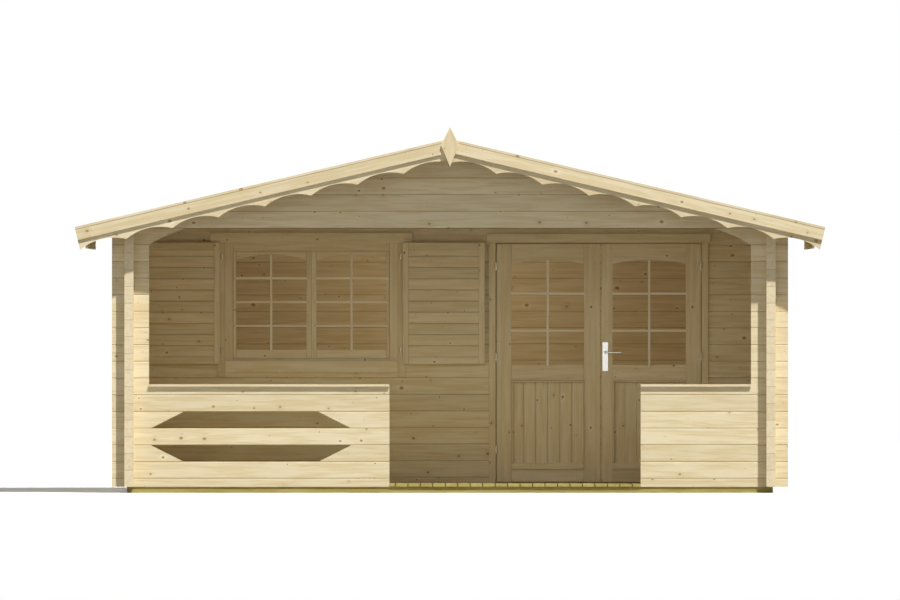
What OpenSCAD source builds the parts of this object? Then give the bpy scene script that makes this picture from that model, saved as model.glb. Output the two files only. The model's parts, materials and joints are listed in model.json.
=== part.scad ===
// Garden log cabin: notched log walls, a veranda under the front gable, a shallow
// board roof, a glazed double door and a pair of sashes with hinged shutters.
// X runs to the right, the front faces -Y and Z is up. The origin is the centre of
// the log footprint, on the ground under the middle bearer.

/* [Logs] */
// Height of one course of logs
course_h = 123.5; // [115:0.5:128]
// Thickness of a log
log_t = 68; // [56:1:80]
// Depth of the V groove where two logs meet
groove_d = 4; // [2:0.5:6]
// Half height of that groove on the face of the wall
groove_h = 5; // [3:0.5:8]
// Play in a corner notch
notch_gap = 0.3; // [0.2:0.1:0.6]
// Courses in a side wall, up to the roof
wall_courses = 16; // [16:1:18]
// How far the roof boards' underside cuts into the top course at its outer face
wall_bevel = 7.6; // [0:0.1:20]
// Courses of the front wall under the window
window_course = 7; // [6:1:8]

/* [Plan] */
// Length of the logs that run across the cabin
cross_log_len = 5000; // [4900:10:5200]
// Length of the logs that run from front to back
side_log_len = 4500; // [4000:10:5200]
// How far a log runs on past the wall that it crosses
log_end = 93; // [70:1:110]
// Depth of the veranda, from wall centre to wall centre
veranda_depth = 1500; // [1100:10:1800]

/* [Bearers and floors] */
// Height of the bearers
bearer_h = 44; // [35:1:70]
// Width of a bearer
bearer_w = 48; // [40:1:100]
// How far the bearers stop short of the outer face of the side walls
bearer_inset = 19; // [0:1:40]
// Thickness of the deck and floor boards
deck_t = 20; // [16:1:28]
// How far the deck stands out in the entrance
deck_nose = 5; // [0:1:15]

/* [Roof] */
// Slope of the roof in degrees
pitch = 13.22; // [12:0.01:14.5]
// Thickness of the roof boards
roof_t = 18.5; // [15:0.5:24]
// Level distance from a side wall to the lower edge of the roof boards
eave_reach = 270; // [200:1:290]
// Level distance from a side wall to the foot of the barge boards
barge_reach = 356.5; // [335:0.5:400]
// How far the roof boards stand out past the ends of the side logs
verge_reach = 167; // [120:1:220]
// Thickness of the barge, scalloped and finial boards
trim_t = 18; // [14:1:24]
// Width of a barge board
barge_w = 80.5; // [70:0.5:95]
// Width of a scalloped board, from its top edge to the tips
scallop_w = 154.5; // [145:0.5:170]
// Rise of each arc in the scalloped edge
scallop_rise = 41; // [30:1:48]
// Number of arcs on each scalloped board
scallops = 8; // [6:1:10]
// Flat left at each tip of the scalloped edge
scallop_tip = 3; // [2:0.5:8]
// Width of the strip that covers the edge of the roof
verge_w = 60; // [45:1:80]
// Height of the eave fascia
fascia_h = 161; // [120:1:170]
// Thickness of the eave fascia
fascia_t = 15; // [12:1:20]
// Width of the finial
finial_w = 131; // [100:1:150]
// Height of the finial above its widest place
finial_up = 136; // [100:1:150]
// Height of the finial below its widest place
finial_down = 158; // [120:1:170]
// Height of the finial's widest place above the ridge of the roof boards' underside
finial_seat = -10; // [-20:1:20]
// Width of a purlin
purlin_w = 44; // [35:1:60]
// Height of a purlin
purlin_h = 90; // [70:1:95]

/* [Veranda front] */
// Courses in the balustrade
balustrade_courses = 6; // [6:1:7]
// Length of the left balustrade, from the corner post to the entrance
left_rail_len = 1778; // [1650:1:1900]
// Length of the right balustrade, from the corner post to the entrance
right_rail_len = 816; // [700:1:950]
// How far the stub logs of a corner post reach inside the side wall
post_reach = 113; // [80:1:150]
// How far the bracket log reaches past the post
bracket_reach = 276; // [200:1:320]
// Hollow of the curve under the bracket log
bracket_hollow = 9; // [6:1:14]
// Thickness of the cap rail
cap_t = 17.5; // [15:0.5:28]
// How far the cap rail stands out on each side of the logs
cap_nose = 22; // [15:1:30]
// Course of the lower cut-out, counted from the half course at the foot
lower_cut_course = 1; // [1:1:2]
// Course of the upper cut-out
upper_cut_course = 3; // [3:1:4]
// Gap between a cut-out's long edge and the corner post, across
cutout_corner_gap = 12; // [5:1:60]
// Gap between a cut-out's long edge and the entrance
cutout_entrance_gap = 281; // [200:1:350]
// How far the slanted end of a cut-out runs across
cutout_slant = 245; // [180:1:300]

/* [Window] */
// Clear width inside the window frame
window_w = 1167; // [1100:1:1180]
// Height of the window frame's top above the joint under the bracket logs
window_head_rise = 29; // [15:1:60]
// Width of the head and jambs of the window frame
window_frame_w = 75; // [66:1:85]
// Height of the window frame's bottom piece
window_sill_h = 18.5; // [15:0.5:30]
// Thickness of a sash
sash_t = 40; // [34:1:46]
// How far a sash lies back from the face of the wall
sash_setback = 4; // [2:0.5:10]
// Width of a sash's outer stile
sash_stile_w = 22; // [20:1:34]
// Width of a sash's meeting stile
sash_meeting_w = 38; // [34:1:50]
// Height of a sash's bottom rail
sash_rail_h = 68; // [55:1:80]
// Height of a sash's top rail at the middle of its arch
sash_crown_h = 26; // [12:0.5:32]
// Rise of the arch in a sash
sash_arch = 41; // [34:0.5:60]
// Play between a sash and its frame at the top and sides
sash_play = 1.5; // [1:0.1:3]
// How far the window frame's stop stands out behind the sashes
window_stop_w = 12; // [9:1:18]

/* [Casings] */
// Thickness of the casing boards
casing_t = 20; // [16:1:24]
// Width of the window's side and bottom casings
window_casing_w = 60; // [50:1:64]
// Overlap of the window's casings on its frame
window_casing_lap = 15; // [12:1:18]
// Overlap of the window's head casing on its frame
window_head_lap = 14; // [10:1:18]
// Height of the window's head casing
window_head_h = 78.5; // [65:0.5:90]
// How far the window's head casing runs past the side casings
window_head_ear = 50; // [30:1:60]
// How far the window's side casings run down past the window frame
window_casing_drop = 116; // [95:1:130]
// How far the bottom casing stops above the foot of the side casings
window_apron_rise = 30; // [10:1:50]
// Width of the door's side casings
door_casing_w = 51; // [42:1:56]
// Height of the door's head casing
door_head_h = 70; // [60:1:85]
// How far the door's head casing runs past the side casings
door_head_ear = 16; // [5:1:30]

/* [Shutters] */
// Width of a shutter
shutter_w = 612; // [560:1:616]
// Distance from a shutter's top to the top of the window frame
shutter_head_gap = 10.5; // [0:0.5:30]
// Thickness of a shutter
shutter_t = 28; // [24:1:34]
// Width of a shutter's stiles
shutter_stile_w = 44; // [38:1:60]
// Height of a shutter's rails
shutter_rail_h = 53; // [45:1:70]
// Thickness of the boards in a shutter
shutter_board_t = 16; // [12:1:18]
// Width of a board in a shutter
shutter_board_w = 83.3; // [70:0.1:100]
// Height of a shutter's foot above the foot of its side casing
shutter_foot = 94; // [80:1:110]
// Distance from a shutter's hinge axis to its edge
shutter_axis_edge = 14; // [12:0.5:20]
// Distance from a shutter's hinge axis to the middle of its side casing
shutter_axis_inset = 7.5; // [0:0.5:12]

/* [Door] */
// Distance from the open right shutter to the doorway
door_shutter_gap = 81; // [70:1:110]
// Clear width between the door jambs
door_w = 1533; // [1450:1:1560]
// Height of the doorway above the joint under the bracket logs
door_head_rise = 15.75; // [5:0.25:40]
// Thickness of the jambs and head of the door frame
jamb_t = 40; // [32:1:44]
// How far the door stop stands out of the jamb
stop_w = 15; // [12:1:20]
// Height of the threshold above the deck
threshold_h = 26; // [15:1:35]
// Place of the line where the leaves meet, right of the doorway's middle
meeting_shift = 16; // [0:1:25]
// Thickness of a leaf
leaf_t = 40; // [36:1:44]
// How far the leaves stand out from the face of the wall
leaf_proud = 18; // [14:1:19]
// Clearance between a leaf and its frame
leaf_gap = 6; // [5.5:0.5:8]
// Clearance between the leaves
meeting_gap = 9; // [9:0.5:12]
// Clearance under the leaves
floor_gap = 6.5; // [5.5:0.5:10]
// Width of a leaf's hinge stile
hinge_stile_w = 112; // [95:1:125]
// Width of the left leaf's meeting stile
left_meeting_w = 122; // [105:1:130]
// Width of the right leaf's meeting stile
right_meeting_w = 84; // [80:1:100]
// Width of the strip that covers the left leaf's edge
cover_w = 33; // [25:1:45]
// Thickness of that strip
cover_t = 8; // [5:1:10]
// Height of a leaf's bottom rail
bottom_rail_h = 92.5; // [80:0.5:120]
// Height of the lower panel
panel_h = 664; // [600:1:700]
// Height of the drip bar at the foot of a door's panel
drip_h = 48; // [30:1:60]
// How far the drip bar stands out of the panel
drip_t = 24; // [16:1:30]
// Thickness of the drip bar at its upper edge
drip_lip_t = 8; // [5:1:12]
// Thickness of the lower panel
panel_t = 20; // [16:1:24]
// Width of a board in the lower panel
panel_board_w = 92; // [80:1:110]
// Height of a leaf's middle rail
middle_rail_h = 116; // [100:1:140]
// Height of a leaf's top rail at the middle of its arch
door_crown_h = 119.5; // [100:0.5:135]
// Rise of the arch in a door leaf
door_arch = 32.5; // [25:0.5:50]
// Thickness of the glass
glass_t = 4; // [3:1:6]
// Depth of the groove that holds the glass
glass_groove = 8; // [6:1:10]

/* [Hinges and handle] */
// Radius of a hinge barrel
barrel_r = 7.5; // [6:0.5:8]
// Height of one knuckle of a door hinge
knuckle_h = 27; // [22:1:32]
// Height of one knuckle of a shutter hinge
shutter_knuckle_h = 20; // [16:1:24]
// Radius of a hinge pin
pin_r = 4; // [3:0.5:4.5]
// Length of the pin inside the upper knuckle
pin_len = 20; // [16:1:21]
// Length of the pin inside the upper knuckle of a shutter hinge
shutter_pin_len = 14; // [10:1:15]
// Radius of the stems that hold a hinge
stem_r = 2.5; // [2:0.5:3]
// Distance from a leaf's face to the door's hinge axis
door_axis_proud = 12; // [11:0.5:14]
// Distance of the end hinges from the ends of a leaf
door_hinge_end = 169; // [140:1:240]
// Lowest door hinge above the foot of the leaf
door_hinge_foot = 241; // [200:1:300]
// How far the middle door hinge sits above halfway between the others
door_hinge_rise = 9; // [0:1:40]
// Distance of the shutter hinges from the ends of a shutter
shutter_hinge_end = 105; // [80:1:140]
// Width of a handle plate
plate_w = 40; // [34:1:44]
// Height of a handle plate
plate_h = 214; // [190:1:240]
// Thickness of a handle plate
plate_t = 3; // [2:0.5:5]
// Height of the lever's axis above the deck
lever_height = 971; // [940:1:1000]
// Distance from the top of the handle plate to the lever's axis
lever_drop = 76; // [60:1:100]
// Distance from the edge of the right leaf to the lever's axis
backset = 29; // [28:1:34]
// Length of a lever
lever_len = 120; // [105:1:135]
// Radius of a lever's bar
lever_r = 6; // [5:0.5:8]
// Distance from the plate to the middle of a lever's bar
lever_stand = 42; // [34:1:50]
// Radius of a lever's neck
neck_r = 9; // [8:0.5:12]
// Radius of the spindle that joins the levers
spindle_r = 5; // [4:0.5:6]
// Radius of a handle plate's corners
plate_corner = 4; // [2:0.5:10]

/* [Fits] */
// Gap left where a piece rests in or against another
seat_gap = 0.3; // [0.2:0.05:0.5]
// Gap in the glued joints of a frame
joint_gap = 0.2; // [0.1:0.05:0.3]
// Radial play between a pin or spindle and its bore
pin_gap = 0.1; // [0.05:0.01:0.2]
// Gap between the two knuckles of a hinge
knuckle_gap = 0.3; // [0.2:0.05:0.5]
// Clearance between a shutter and the casings
shutter_gap = 5.5; // [5.5:0.5:8]
// Clearance between the open left shutter and the side wall
shutter_wall_gap = 14.5; // [8:0.5:30]
// Clearance between the leaves and the stop behind them
stop_gap = 6; // [5.5:0.5:8]

/* [Hidden] */

$fn = 48;
arc_fn = 180;
over = 10;   // how far a cutter runs past what it cuts

// Plan
log_half = log_t / 2;
cross_end = cross_log_len / 2;
side_end = side_log_len / 2;
side_x = cross_end - log_end - log_half;
side_outer = side_x + log_half;
side_inner = side_x - log_half;
rear_y = side_end - log_end - log_half;
veranda_y = -rear_y;
front_y = veranda_y + veranda_depth;
wall_face = front_y - log_half;     // outer face of the wall behind the veranda
wall_back = front_y + log_half;

// Heights
base_z = bearer_h;
floor_z = base_z + deck_t;
function cross_line(k) = base_z + course_h * (k + 0.5);
function side_line(k) = base_z + course_h * k;
rail_z = side_line(balustrade_courses);
wall_top = side_line(wall_courses) - wall_bevel;
gable_z = cross_line(wall_courses - 1);
bracket_z = gable_z - course_h;
window_sill_z = cross_line(window_course);

// Roof: v is the height square to the slope above the underside of the roof boards,
// u is the distance down the slope from the ridge.
ridge_z = wall_top + side_outer * tan(pitch);
function plumb_pt(x, v) = [x, ridge_z - x * tan(pitch) + v / cos(pitch)];
function slope_pt(u, v) = [u * cos(pitch) + v * sin(pitch),
                           ridge_z - u * sin(pitch) + v * cos(pitch)];
roof_y = side_end + verge_reach;
roof_edge_x = side_outer + eave_reach;
barge_u = (side_outer + barge_reach) / cos(pitch);
purlin_xs = [for (i = [-2:2]) i * side_x / 3];

// Veranda front
post_inner = side_inner - post_reach;
rail_face = veranda_y - log_half;
rail_back = veranda_y + log_half;
entrance_left = -post_inner + left_rail_len;
entrance_right = post_inner - right_rail_len;
cutout_x0 = -post_inner + cutout_corner_gap;
cutout_x1 = entrance_left - cutout_entrance_gap;

// Window
sash_z = window_sill_z + window_sill_h;
frame_top = bracket_z + window_head_rise;
sash_top = frame_top - window_frame_w;
sash_face = wall_face + sash_setback;
sash_back = sash_face + sash_t;
window_half = window_w / 2;
window_outer = window_half + window_frame_w;
window_casing_in = window_outer - window_casing_lap;
window_casing_out = window_casing_in + window_casing_w;
window_head_z = frame_top - window_head_lap;
window_casing_z = window_sill_z - window_casing_drop;
shutter_axis_off = (window_casing_in + window_casing_out) / 2 - shutter_axis_inset;
left_shutter_axis_x = -side_inner + shutter_wall_gap + shutter_w + shutter_axis_edge;
window_x = left_shutter_axis_x + shutter_axis_off;
right_shutter_axis_x = window_x + shutter_axis_off;
right_shutter_edge = right_shutter_axis_x + shutter_axis_edge + shutter_w;

// Door
door_half = door_w / 2;
door_left = right_shutter_edge + door_shutter_gap;
door_x = door_left + door_half;
door_right = door_left + door_w;
door_top = bracket_z + door_head_rise;
leaf_face = wall_face - leaf_proud;
leaf_back = leaf_face + leaf_t;
leaf_z = floor_z + floor_gap;
leaf_top = door_top - leaf_gap;
meeting_x = door_x + meeting_shift;
left_leaf_x0 = door_left + leaf_gap;
left_leaf_x1 = meeting_x - meeting_gap / 2;
right_leaf_x0 = meeting_x + meeting_gap / 2;
right_leaf_x1 = door_right - leaf_gap;
panel_z = leaf_z + bottom_rail_h;
middle_rail_z = panel_z + panel_h;
door_glass_z = middle_rail_z + middle_rail_h;
door_crown_z = leaf_top - door_crown_h;
stop_y = leaf_back + stop_gap;
casing_face = wall_face - casing_t;

// Hinges and handle
door_axis_y = leaf_face - door_axis_proud;
left_door_axis_x = (door_left + left_leaf_x0) / 2;
right_door_axis_x = (door_right + right_leaf_x1) / 2;
door_hinge_zs = [leaf_z + door_hinge_foot,
                 (leaf_z + door_hinge_foot + leaf_top - door_hinge_end) / 2 + door_hinge_rise,
                 leaf_top - door_hinge_end];
shutter_back = casing_face - shutter_gap;
shutter_axis_y = shutter_back - shutter_t / 2;
shutter_z = window_casing_z + shutter_foot;
shutter_top = frame_top - shutter_head_gap;
shutter_hinge_zs = [shutter_z + shutter_hinge_end, shutter_top - shutter_hinge_end];
lever_x = right_leaf_x0 + backset;
lever_z = floor_z + lever_height;

// ---- Shared forms -------------------------------------------------------------

// A flat shape drawn in X and Z, made solid from y0 to y1
module across(y0, y1)
    translate([0, y1, 0]) rotate([90, 0, 0]) linear_extrude(y1 - y0) children();

// A flat shape drawn in Y and Z, made solid from x0 to x1
module along(x0, x1)
    translate([x0, 0, 0]) rotate([90, 0, 90]) linear_extrude(x1 - x0) children();

// A block from one corner to the opposite one
module block(low, high) translate(low) cube(high - low);

module both_sides() { children(); mirror([1, 0, 0]) children(); }

// Joint lines between a and b, at first + any number of steps
function joint_lines(a, b, first, step, margin) =
    [for (k = [floor((a - first) / step) : ceil((b - first) / step)])
        let (z = first + k * step)
        if (abs(z - a) < 0.01 || abs(z - b) < 0.01 || (z > a + margin && z < b - margin)) z];

// One side of a grooved section, from a to b, at half thickness t
function grooved_side(t, a, b, first, step, depth, half) =
    let (lines = joint_lines(a, b, first, step, 2 * half))
    concat(
        len([for (z = lines) if (abs(z - a) < 0.01) z]) > 0 ? [] : [[t, a]],
        [for (z = lines) each concat(
            z > a + half ? [[t, z - half]] : [],
            [[t - depth, z]],
            z < b - half ? [[t, z + half]] : [])],
        len([for (z = lines) if (abs(z - b) < 0.01) z]) > 0 ? [] : [[t, b]]);

function flipped(points) = [for (i = [len(points) - 1 : -1 : 0]) [-points[i][0], points[i][1]]];

// Section of a stack of boards or logs, standing on a and ending at b
module grooved_section(t, a, b, first, step, depth, half) {
    side = grooved_side(t / 2, a, b, first, step, depth, half);
    polygon(concat(side, flipped(side)));
}

module log_section(a, b, first)
    grooved_section(log_t, a, b, first, course_h, groove_d, groove_h);

// Openings that the crossing side logs need in a wall that runs across
module side_notches(a, b)
    for (x = [-side_x, side_x], z = joint_lines(a, b, cross_line(0), course_h, -course_h / 2))
        translate([x - log_half - notch_gap, -log_t, z - course_h / 4 - notch_gap / 2])
            cube([log_t + 2 * notch_gap, 2 * log_t, course_h / 2 + notch_gap]);

// Stack of logs that runs across the cabin, with its corner notches
module cross_logs(y, x0, x1, a, b)
    translate([0, y, 0]) difference() {
        along(x0, x1) log_section(a, b, cross_line(0));
        side_notches(a, b);
    }

// Outline of the space under the roof boards, above height a
module under_roof(a)
    polygon([[-cross_end - over, a], [cross_end + over, a],
             plumb_pt(cross_end + over, -seat_gap), plumb_pt(0, -seat_gap),
             [-cross_end - over, plumb_pt(cross_end + over, -seat_gap)[1]]]);

// Room for the purlins in a gable
module purlin_notches()
    for (x = purlin_xs)
        across(-roof_y, roof_y)
            translate([x - purlin_w / 2 - seat_gap,
                       plumb_pt(abs(x), 0)[1] - purlin_h - seat_gap])
                square([purlin_w + 2 * seat_gap, purlin_h + 4 * over]);

// Gable wall of logs from height a up to the roof
module gable_logs(y, a)
    difference() {
        intersection() {
            cross_logs(y, -cross_end, cross_end, a, ridge_z);
            across(y - log_t, y + log_t) under_roof(a);
        }
        purlin_notches();
    }

// Layer of the right roof slope between v0 and v1, cut square at its foot
module slope_layer(v0, v1)
    polygon([plumb_pt(joint_gap / 2, v0), slope_pt(barge_u, v0),
             slope_pt(barge_u, v1), plumb_pt(joint_gap / 2, v1)]);

// Pane with an arched top; grow widens it on every side
module arched_pane(x0, x1, z0, crown, rise, grow) {
    half = (x1 - x0) / 2;
    radius = (half * half + rise * rise) / (2 * rise);
    intersection() {
        translate([x0 - grow, z0 - grow]) square([x1 - x0 + 2 * grow, crown - z0 + 2 * grow]);
        translate([(x0 + x1) / 2, crown - radius]) circle(radius + grow, $fn = arc_fn);
    }
}

// Lower knuckle with its pin, standing on height z0
module pin_knuckle(x, y, z0, tall = knuckle_h, pin = pin_len)
    translate([x, y, z0]) {
        cylinder(r = barrel_r, h = tall);
        cylinder(r = pin_r, h = tall + pin);
    }

// Upper knuckle, which turns on the pin
module bored_knuckle(x, y, z0, tall = knuckle_h, pin = pin_len)
    translate([x, y, z0 + tall + knuckle_gap]) difference() {
        cylinder(r = barrel_r, h = tall);
        translate([0, 0, -over]) cylinder(r = pin_r + pin_gap, h = over + pin + 1);
    }

// Round stem from the side of a door hinge's barrel to y1
module barrel_stem(x, y1, z) stem(x, door_axis_y + pin_r + 2 * pin_gap, y1, z);

// Round stem from y0 to y1
module stem(x, y0, y1, z)
    translate([x, y0, z]) rotate([-90, 0, 0]) cylinder(r = stem_r, h = y1 - y0);

// ---- Ground and floors --------------------------------------------------------

module bearers()
    color("#a39a5c")
        for (y = concat([for (i = [0:4]) rear_y * i / 4],
                        [for (i = [0:3]) front_y - veranda_depth * i / 3]))
            block([-side_outer + bearer_inset, y - bearer_w / 2, 0],
                  [side_outer - bearer_inset, y + bearer_w / 2, bearer_h]);

module veranda_deck()
    color("#b9ab78") translate([0, 0, base_z]) linear_extrude(deck_t) union() {
        translate([-side_inner + seat_gap, rail_back + seat_gap])
            square([2 * (side_inner - seat_gap), wall_face - rail_back - 2 * seat_gap]);
        translate([entrance_left + seat_gap, rail_face - deck_nose])
            square([entrance_right - entrance_left - 2 * seat_gap,
                    log_t + deck_nose + over]);
    }

module room_floor()
    color("#dcc99a")
        block([-side_inner + seat_gap, wall_back + seat_gap, base_z],
              [side_inner - seat_gap, rear_y - log_half - seat_gap, floor_z]);

// ---- Walls --------------------------------------------------------------------

// Side wall on the right, with a slanted top under the roof boards
module side_wall() {
    outer = grooved_side(log_half, base_z, plumb_pt(side_outer, -seat_gap)[1],
                         side_line(0), course_h, groove_d, groove_h);
    inner = grooved_side(log_half, base_z, plumb_pt(side_inner, -seat_gap)[1],
                         side_line(0), course_h, groove_d, groove_h);
    difference() {
        across(-side_end, side_end) translate([side_x, 0])
            polygon(concat(outer, flipped(inner)));
        for (y = [veranda_y, front_y, rear_y],
             z = joint_lines(base_z, wall_top, side_line(0), course_h, -course_h / 2))
            block([side_x - log_t, y - log_half - notch_gap, z - course_h / 4 - notch_gap / 2],
                  [side_x + log_t, y + log_half + notch_gap, z + course_h / 4 + notch_gap / 2]);
    }
}

module left_side_wall() color("#e6d3a3") mirror([1, 0, 0]) side_wall();

module right_side_wall() color("#e6d3a3") side_wall();

module rear_wall() color("#e2cf9f") gable_logs(rear_y, base_z);

module front_wall_sill()
    color("#d8c290")
        cross_logs(front_y, -cross_end, door_left - jamb_t - seat_gap, base_z, window_sill_z);

module front_wall_left_pier()
    color("#d8c290")
        cross_logs(front_y, -cross_end, window_x - window_outer - seat_gap,
                   window_sill_z, bracket_z);

module front_wall_middle_pier()
    color("#d8c290")
        cross_logs(front_y, window_x + window_outer + seat_gap,
                   door_left - jamb_t - seat_gap, window_sill_z, bracket_z);

module front_wall_right_pier()
    color("#d8c290")
        cross_logs(front_y, door_right + jamb_t + seat_gap, cross_end, base_z, bracket_z);

module front_wall_gable()
    color("#d8c290") difference() {
        gable_logs(front_y, bracket_z);
        block([window_x - window_outer - seat_gap, wall_face - over, bracket_z - over],
              [window_x + window_outer + seat_gap, wall_back + over, frame_top + seat_gap]);
        block([door_left - jamb_t - seat_gap, wall_face - over, bracket_z - over],
              [door_right + jamb_t + seat_gap, wall_back + over, door_top + jamb_t + seat_gap]);
    }

module veranda_gable() color("#e8d6a8") gable_logs(veranda_y, gable_z);

// ---- Veranda front ------------------------------------------------------------

module corner_posts()
    color("#ead8aa") both_sides()
        cross_logs(veranda_y, post_inner, cross_end, rail_z, bracket_z);

// Bracket log, with a shallow curve under its free end
module corner_brackets() {
    chord = norm([bracket_reach, course_h]);
    radius = (chord * chord / 4 + bracket_hollow * bracket_hollow) / (2 * bracket_hollow);
    lean = atan2(course_h, bracket_reach);
    middle = [post_inner - bracket_reach / 2, bracket_z + course_h / 2];
    centre = middle - (radius - bracket_hollow) * [sin(lean), cos(lean)];
    color("#ead8aa") both_sides() difference() {
        cross_logs(veranda_y, post_inner - bracket_reach, cross_end, bracket_z, gable_z);
        across(rail_face - over, rail_back + over) intersection() {
            translate(centre) circle(radius, $fn = 4 * arc_fn);
            translate([post_inner - bracket_reach - over, bracket_z - over])
                square([bracket_reach + over, course_h + over]);
        }
    }
}

// Section of the balustrade between the entrance and the corner
module balustrade_logs(x0, x1, a, b) cross_logs(veranda_y, x0, x1, a, b);

module left_balustrade_logs()
    color("#ead8aa") {
        balustrade_logs(-cross_end, entrance_left, base_z, cross_line(lower_cut_course));
        balustrade_logs(-cross_end, entrance_left, cross_line(lower_cut_course + 1),
                        cross_line(upper_cut_course));
        balustrade_logs(-cross_end, entrance_left, cross_line(upper_cut_course + 1), rail_z);
    }

// Short logs beside a cut-out; the long edge is at the top, or with flip at the foot
module cutout_course(k, flip) {
    low = cross_line(k);
    high = cross_line(k + 1);
    long_z = flip ? low : high;
    short_z = flip ? high : low;
    difference() {
        balustrade_logs(-cross_end, entrance_left, low, high);
        across(rail_face - over, rail_back + over)
            polygon([[cutout_x0, long_z], [cutout_x1, long_z],
                     [cutout_x1, long_z + (flip ? -over : over)],
                     [cutout_x0, long_z + (flip ? -over : over)]]);
        across(rail_face - over, rail_back + over)
            polygon([[cutout_x0, long_z], [cutout_x1, long_z],
                     [cutout_x1 - cutout_slant, short_z],
                     [cutout_x1 - cutout_slant, short_z + (flip ? over : -over)],
                     [cutout_x0 + cutout_slant, short_z + (flip ? over : -over)],
                     [cutout_x0 + cutout_slant, short_z]]);
    }
}

module left_balustrade_blocks()
    color("#ead8aa") {
        cutout_course(lower_cut_course, false);
        cutout_course(upper_cut_course, true);
    }

module right_balustrade()
    color("#ead8aa") balustrade_logs(entrance_right, cross_end, base_z, rail_z);

module cap_rails()
    color("#f0e0b6") {
        block([-post_inner + seat_gap, rail_face - cap_nose, rail_z],
              [entrance_left, rail_back + cap_nose, rail_z + cap_t]);
        block([entrance_right, rail_face - cap_nose, rail_z],
              [post_inner - seat_gap, rail_back + cap_nose, rail_z + cap_t]);
    }

// ---- Roof ---------------------------------------------------------------------

module purlins()
    color("#dcc894") for (x = purlin_xs)
        across(-roof_y + seat_gap, roof_y - seat_gap) intersection() {
            translate([x - purlin_w / 2, plumb_pt(abs(x), 0)[1] - purlin_h])
                square([purlin_w, purlin_h + over]);
            under_roof(base_z);
        }

module roof_deck()
    across(-roof_y + seat_gap, roof_y - seat_gap)
        polygon([plumb_pt(joint_gap / 2, 0), plumb_pt(roof_edge_x, 0),
                 plumb_pt(roof_edge_x, roof_t), plumb_pt(joint_gap / 2, roof_t)]);

module left_roof_deck() color("#e0cc98") mirror([1, 0, 0]) roof_deck();

module right_roof_deck() color("#e0cc98") roof_deck();

module eave_fascias() {
    x0 = roof_edge_x + seat_gap;
    x1 = x0 + fascia_t;
    foot = plumb_pt(x0, roof_t)[1] - fascia_h;
    color("#ecdcae") both_sides()
        across(-roof_y + seat_gap, roof_y - seat_gap)
            polygon([[x0, foot], [x1, foot], plumb_pt(x1, roof_t), plumb_pt(x0, roof_t)]);
}

module barge_boards()
    color("#f0e0b4") both_sides() {
        across(-roof_y - 2 * trim_t, -roof_y - trim_t) slope_layer(roof_t - barge_w, roof_t);
        across(roof_y, roof_y + trim_t) slope_layer(roof_t - barge_w, roof_t);
    }

module scalloped_boards() {
    tip_v = roof_t - scallop_w;
    first_u = -tip_v * tan(pitch);
    step = (barge_u - first_u) / scallops;
    half = (step - scallop_tip) / 2;
    radius = (half * half + scallop_rise * scallop_rise) / (2 * scallop_rise);
    color("#e4d2a2") both_sides()
        across(-roof_y - trim_t, -roof_y) difference() {
            slope_layer(tip_v, roof_t);
            for (i = [0 : scallops - 1])
                translate(slope_pt(first_u + (i + 0.5) * step, tip_v + scallop_rise - radius))
                    circle(radius, $fn = arc_fn);
        }
}

module verge_strips()
    color("#f4e6bf") both_sides() {
        across(-roof_y - 2 * trim_t, -roof_y - 2 * trim_t + verge_w)
            slope_layer(roof_t + joint_gap, 2 * roof_t);
        across(roof_y + trim_t - verge_w, roof_y + trim_t)
            slope_layer(roof_t + joint_gap, 2 * roof_t);
    }

// Kite-shaped board over the joint of the barge boards
module ridge_finial() {
    wide_z = ridge_z + finial_seat;
    color("#f0e0b4") across(-roof_y - 3 * trim_t, -roof_y - 2 * trim_t)
        polygon([[0, wide_z + finial_up], [finial_w / 2, wide_z],
                 [0, wide_z - finial_down], [-finial_w / 2, wide_z]]);
}

// ---- Door ---------------------------------------------------------------------

module door_frame() {
    head_y = wall_face;
    color("#cdb685") {
        // jambs with their stops
        translate([door_x, 0, 0]) both_sides() {
            block([door_half, head_y, base_z + joint_gap],
                  [door_half + jamb_t, wall_back, door_top + jamb_t]);
            block([door_half - stop_w, stop_y, base_z + joint_gap],
                  [door_half + jamb_t, wall_back, door_top + jamb_t]);
        }
        // head
        block([door_left + joint_gap, head_y, door_top],
              [door_right - joint_gap, stop_y - joint_gap, door_top + jamb_t]);
        block([door_left + stop_w + joint_gap, stop_y - joint_gap, door_top - stop_w],
              [door_right - stop_w - joint_gap, wall_back, door_top + jamb_t]);
        // threshold
        block([door_left + joint_gap, head_y, base_z],
              [door_right - joint_gap, stop_y - joint_gap, floor_z]);
        block([door_left + stop_w + joint_gap, stop_y - joint_gap, base_z],
              [door_right - stop_w - joint_gap, wall_back, floor_z + threshold_h]);
    }
}

module door_casings()
    color("#d2bb8b") {
        for (x = [door_left - door_casing_w, door_right])
            block([x, casing_face, floor_z + seat_gap],
                  [x + door_casing_w, wall_face, door_top - joint_gap]);
        block([door_left - door_casing_w - door_head_ear, casing_face, door_top],
              [door_right + door_casing_w + door_head_ear, wall_face, door_top + door_head_h]);
    }

// Glass space of a leaf whose glass runs from x0 to x1
module door_pane(x0, x1, grow)
    arched_pane(x0, x1, door_glass_z, door_crown_z, door_arch, grow);

// Room for the glass in the members of a leaf
module door_glass_slot(x0, x1)
    across((leaf_face + leaf_back - glass_t) / 2 - seat_gap,
           (leaf_face + leaf_back + glass_t) / 2 + seat_gap)
        door_pane(x0, x1, glass_groove + seat_gap);

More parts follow.
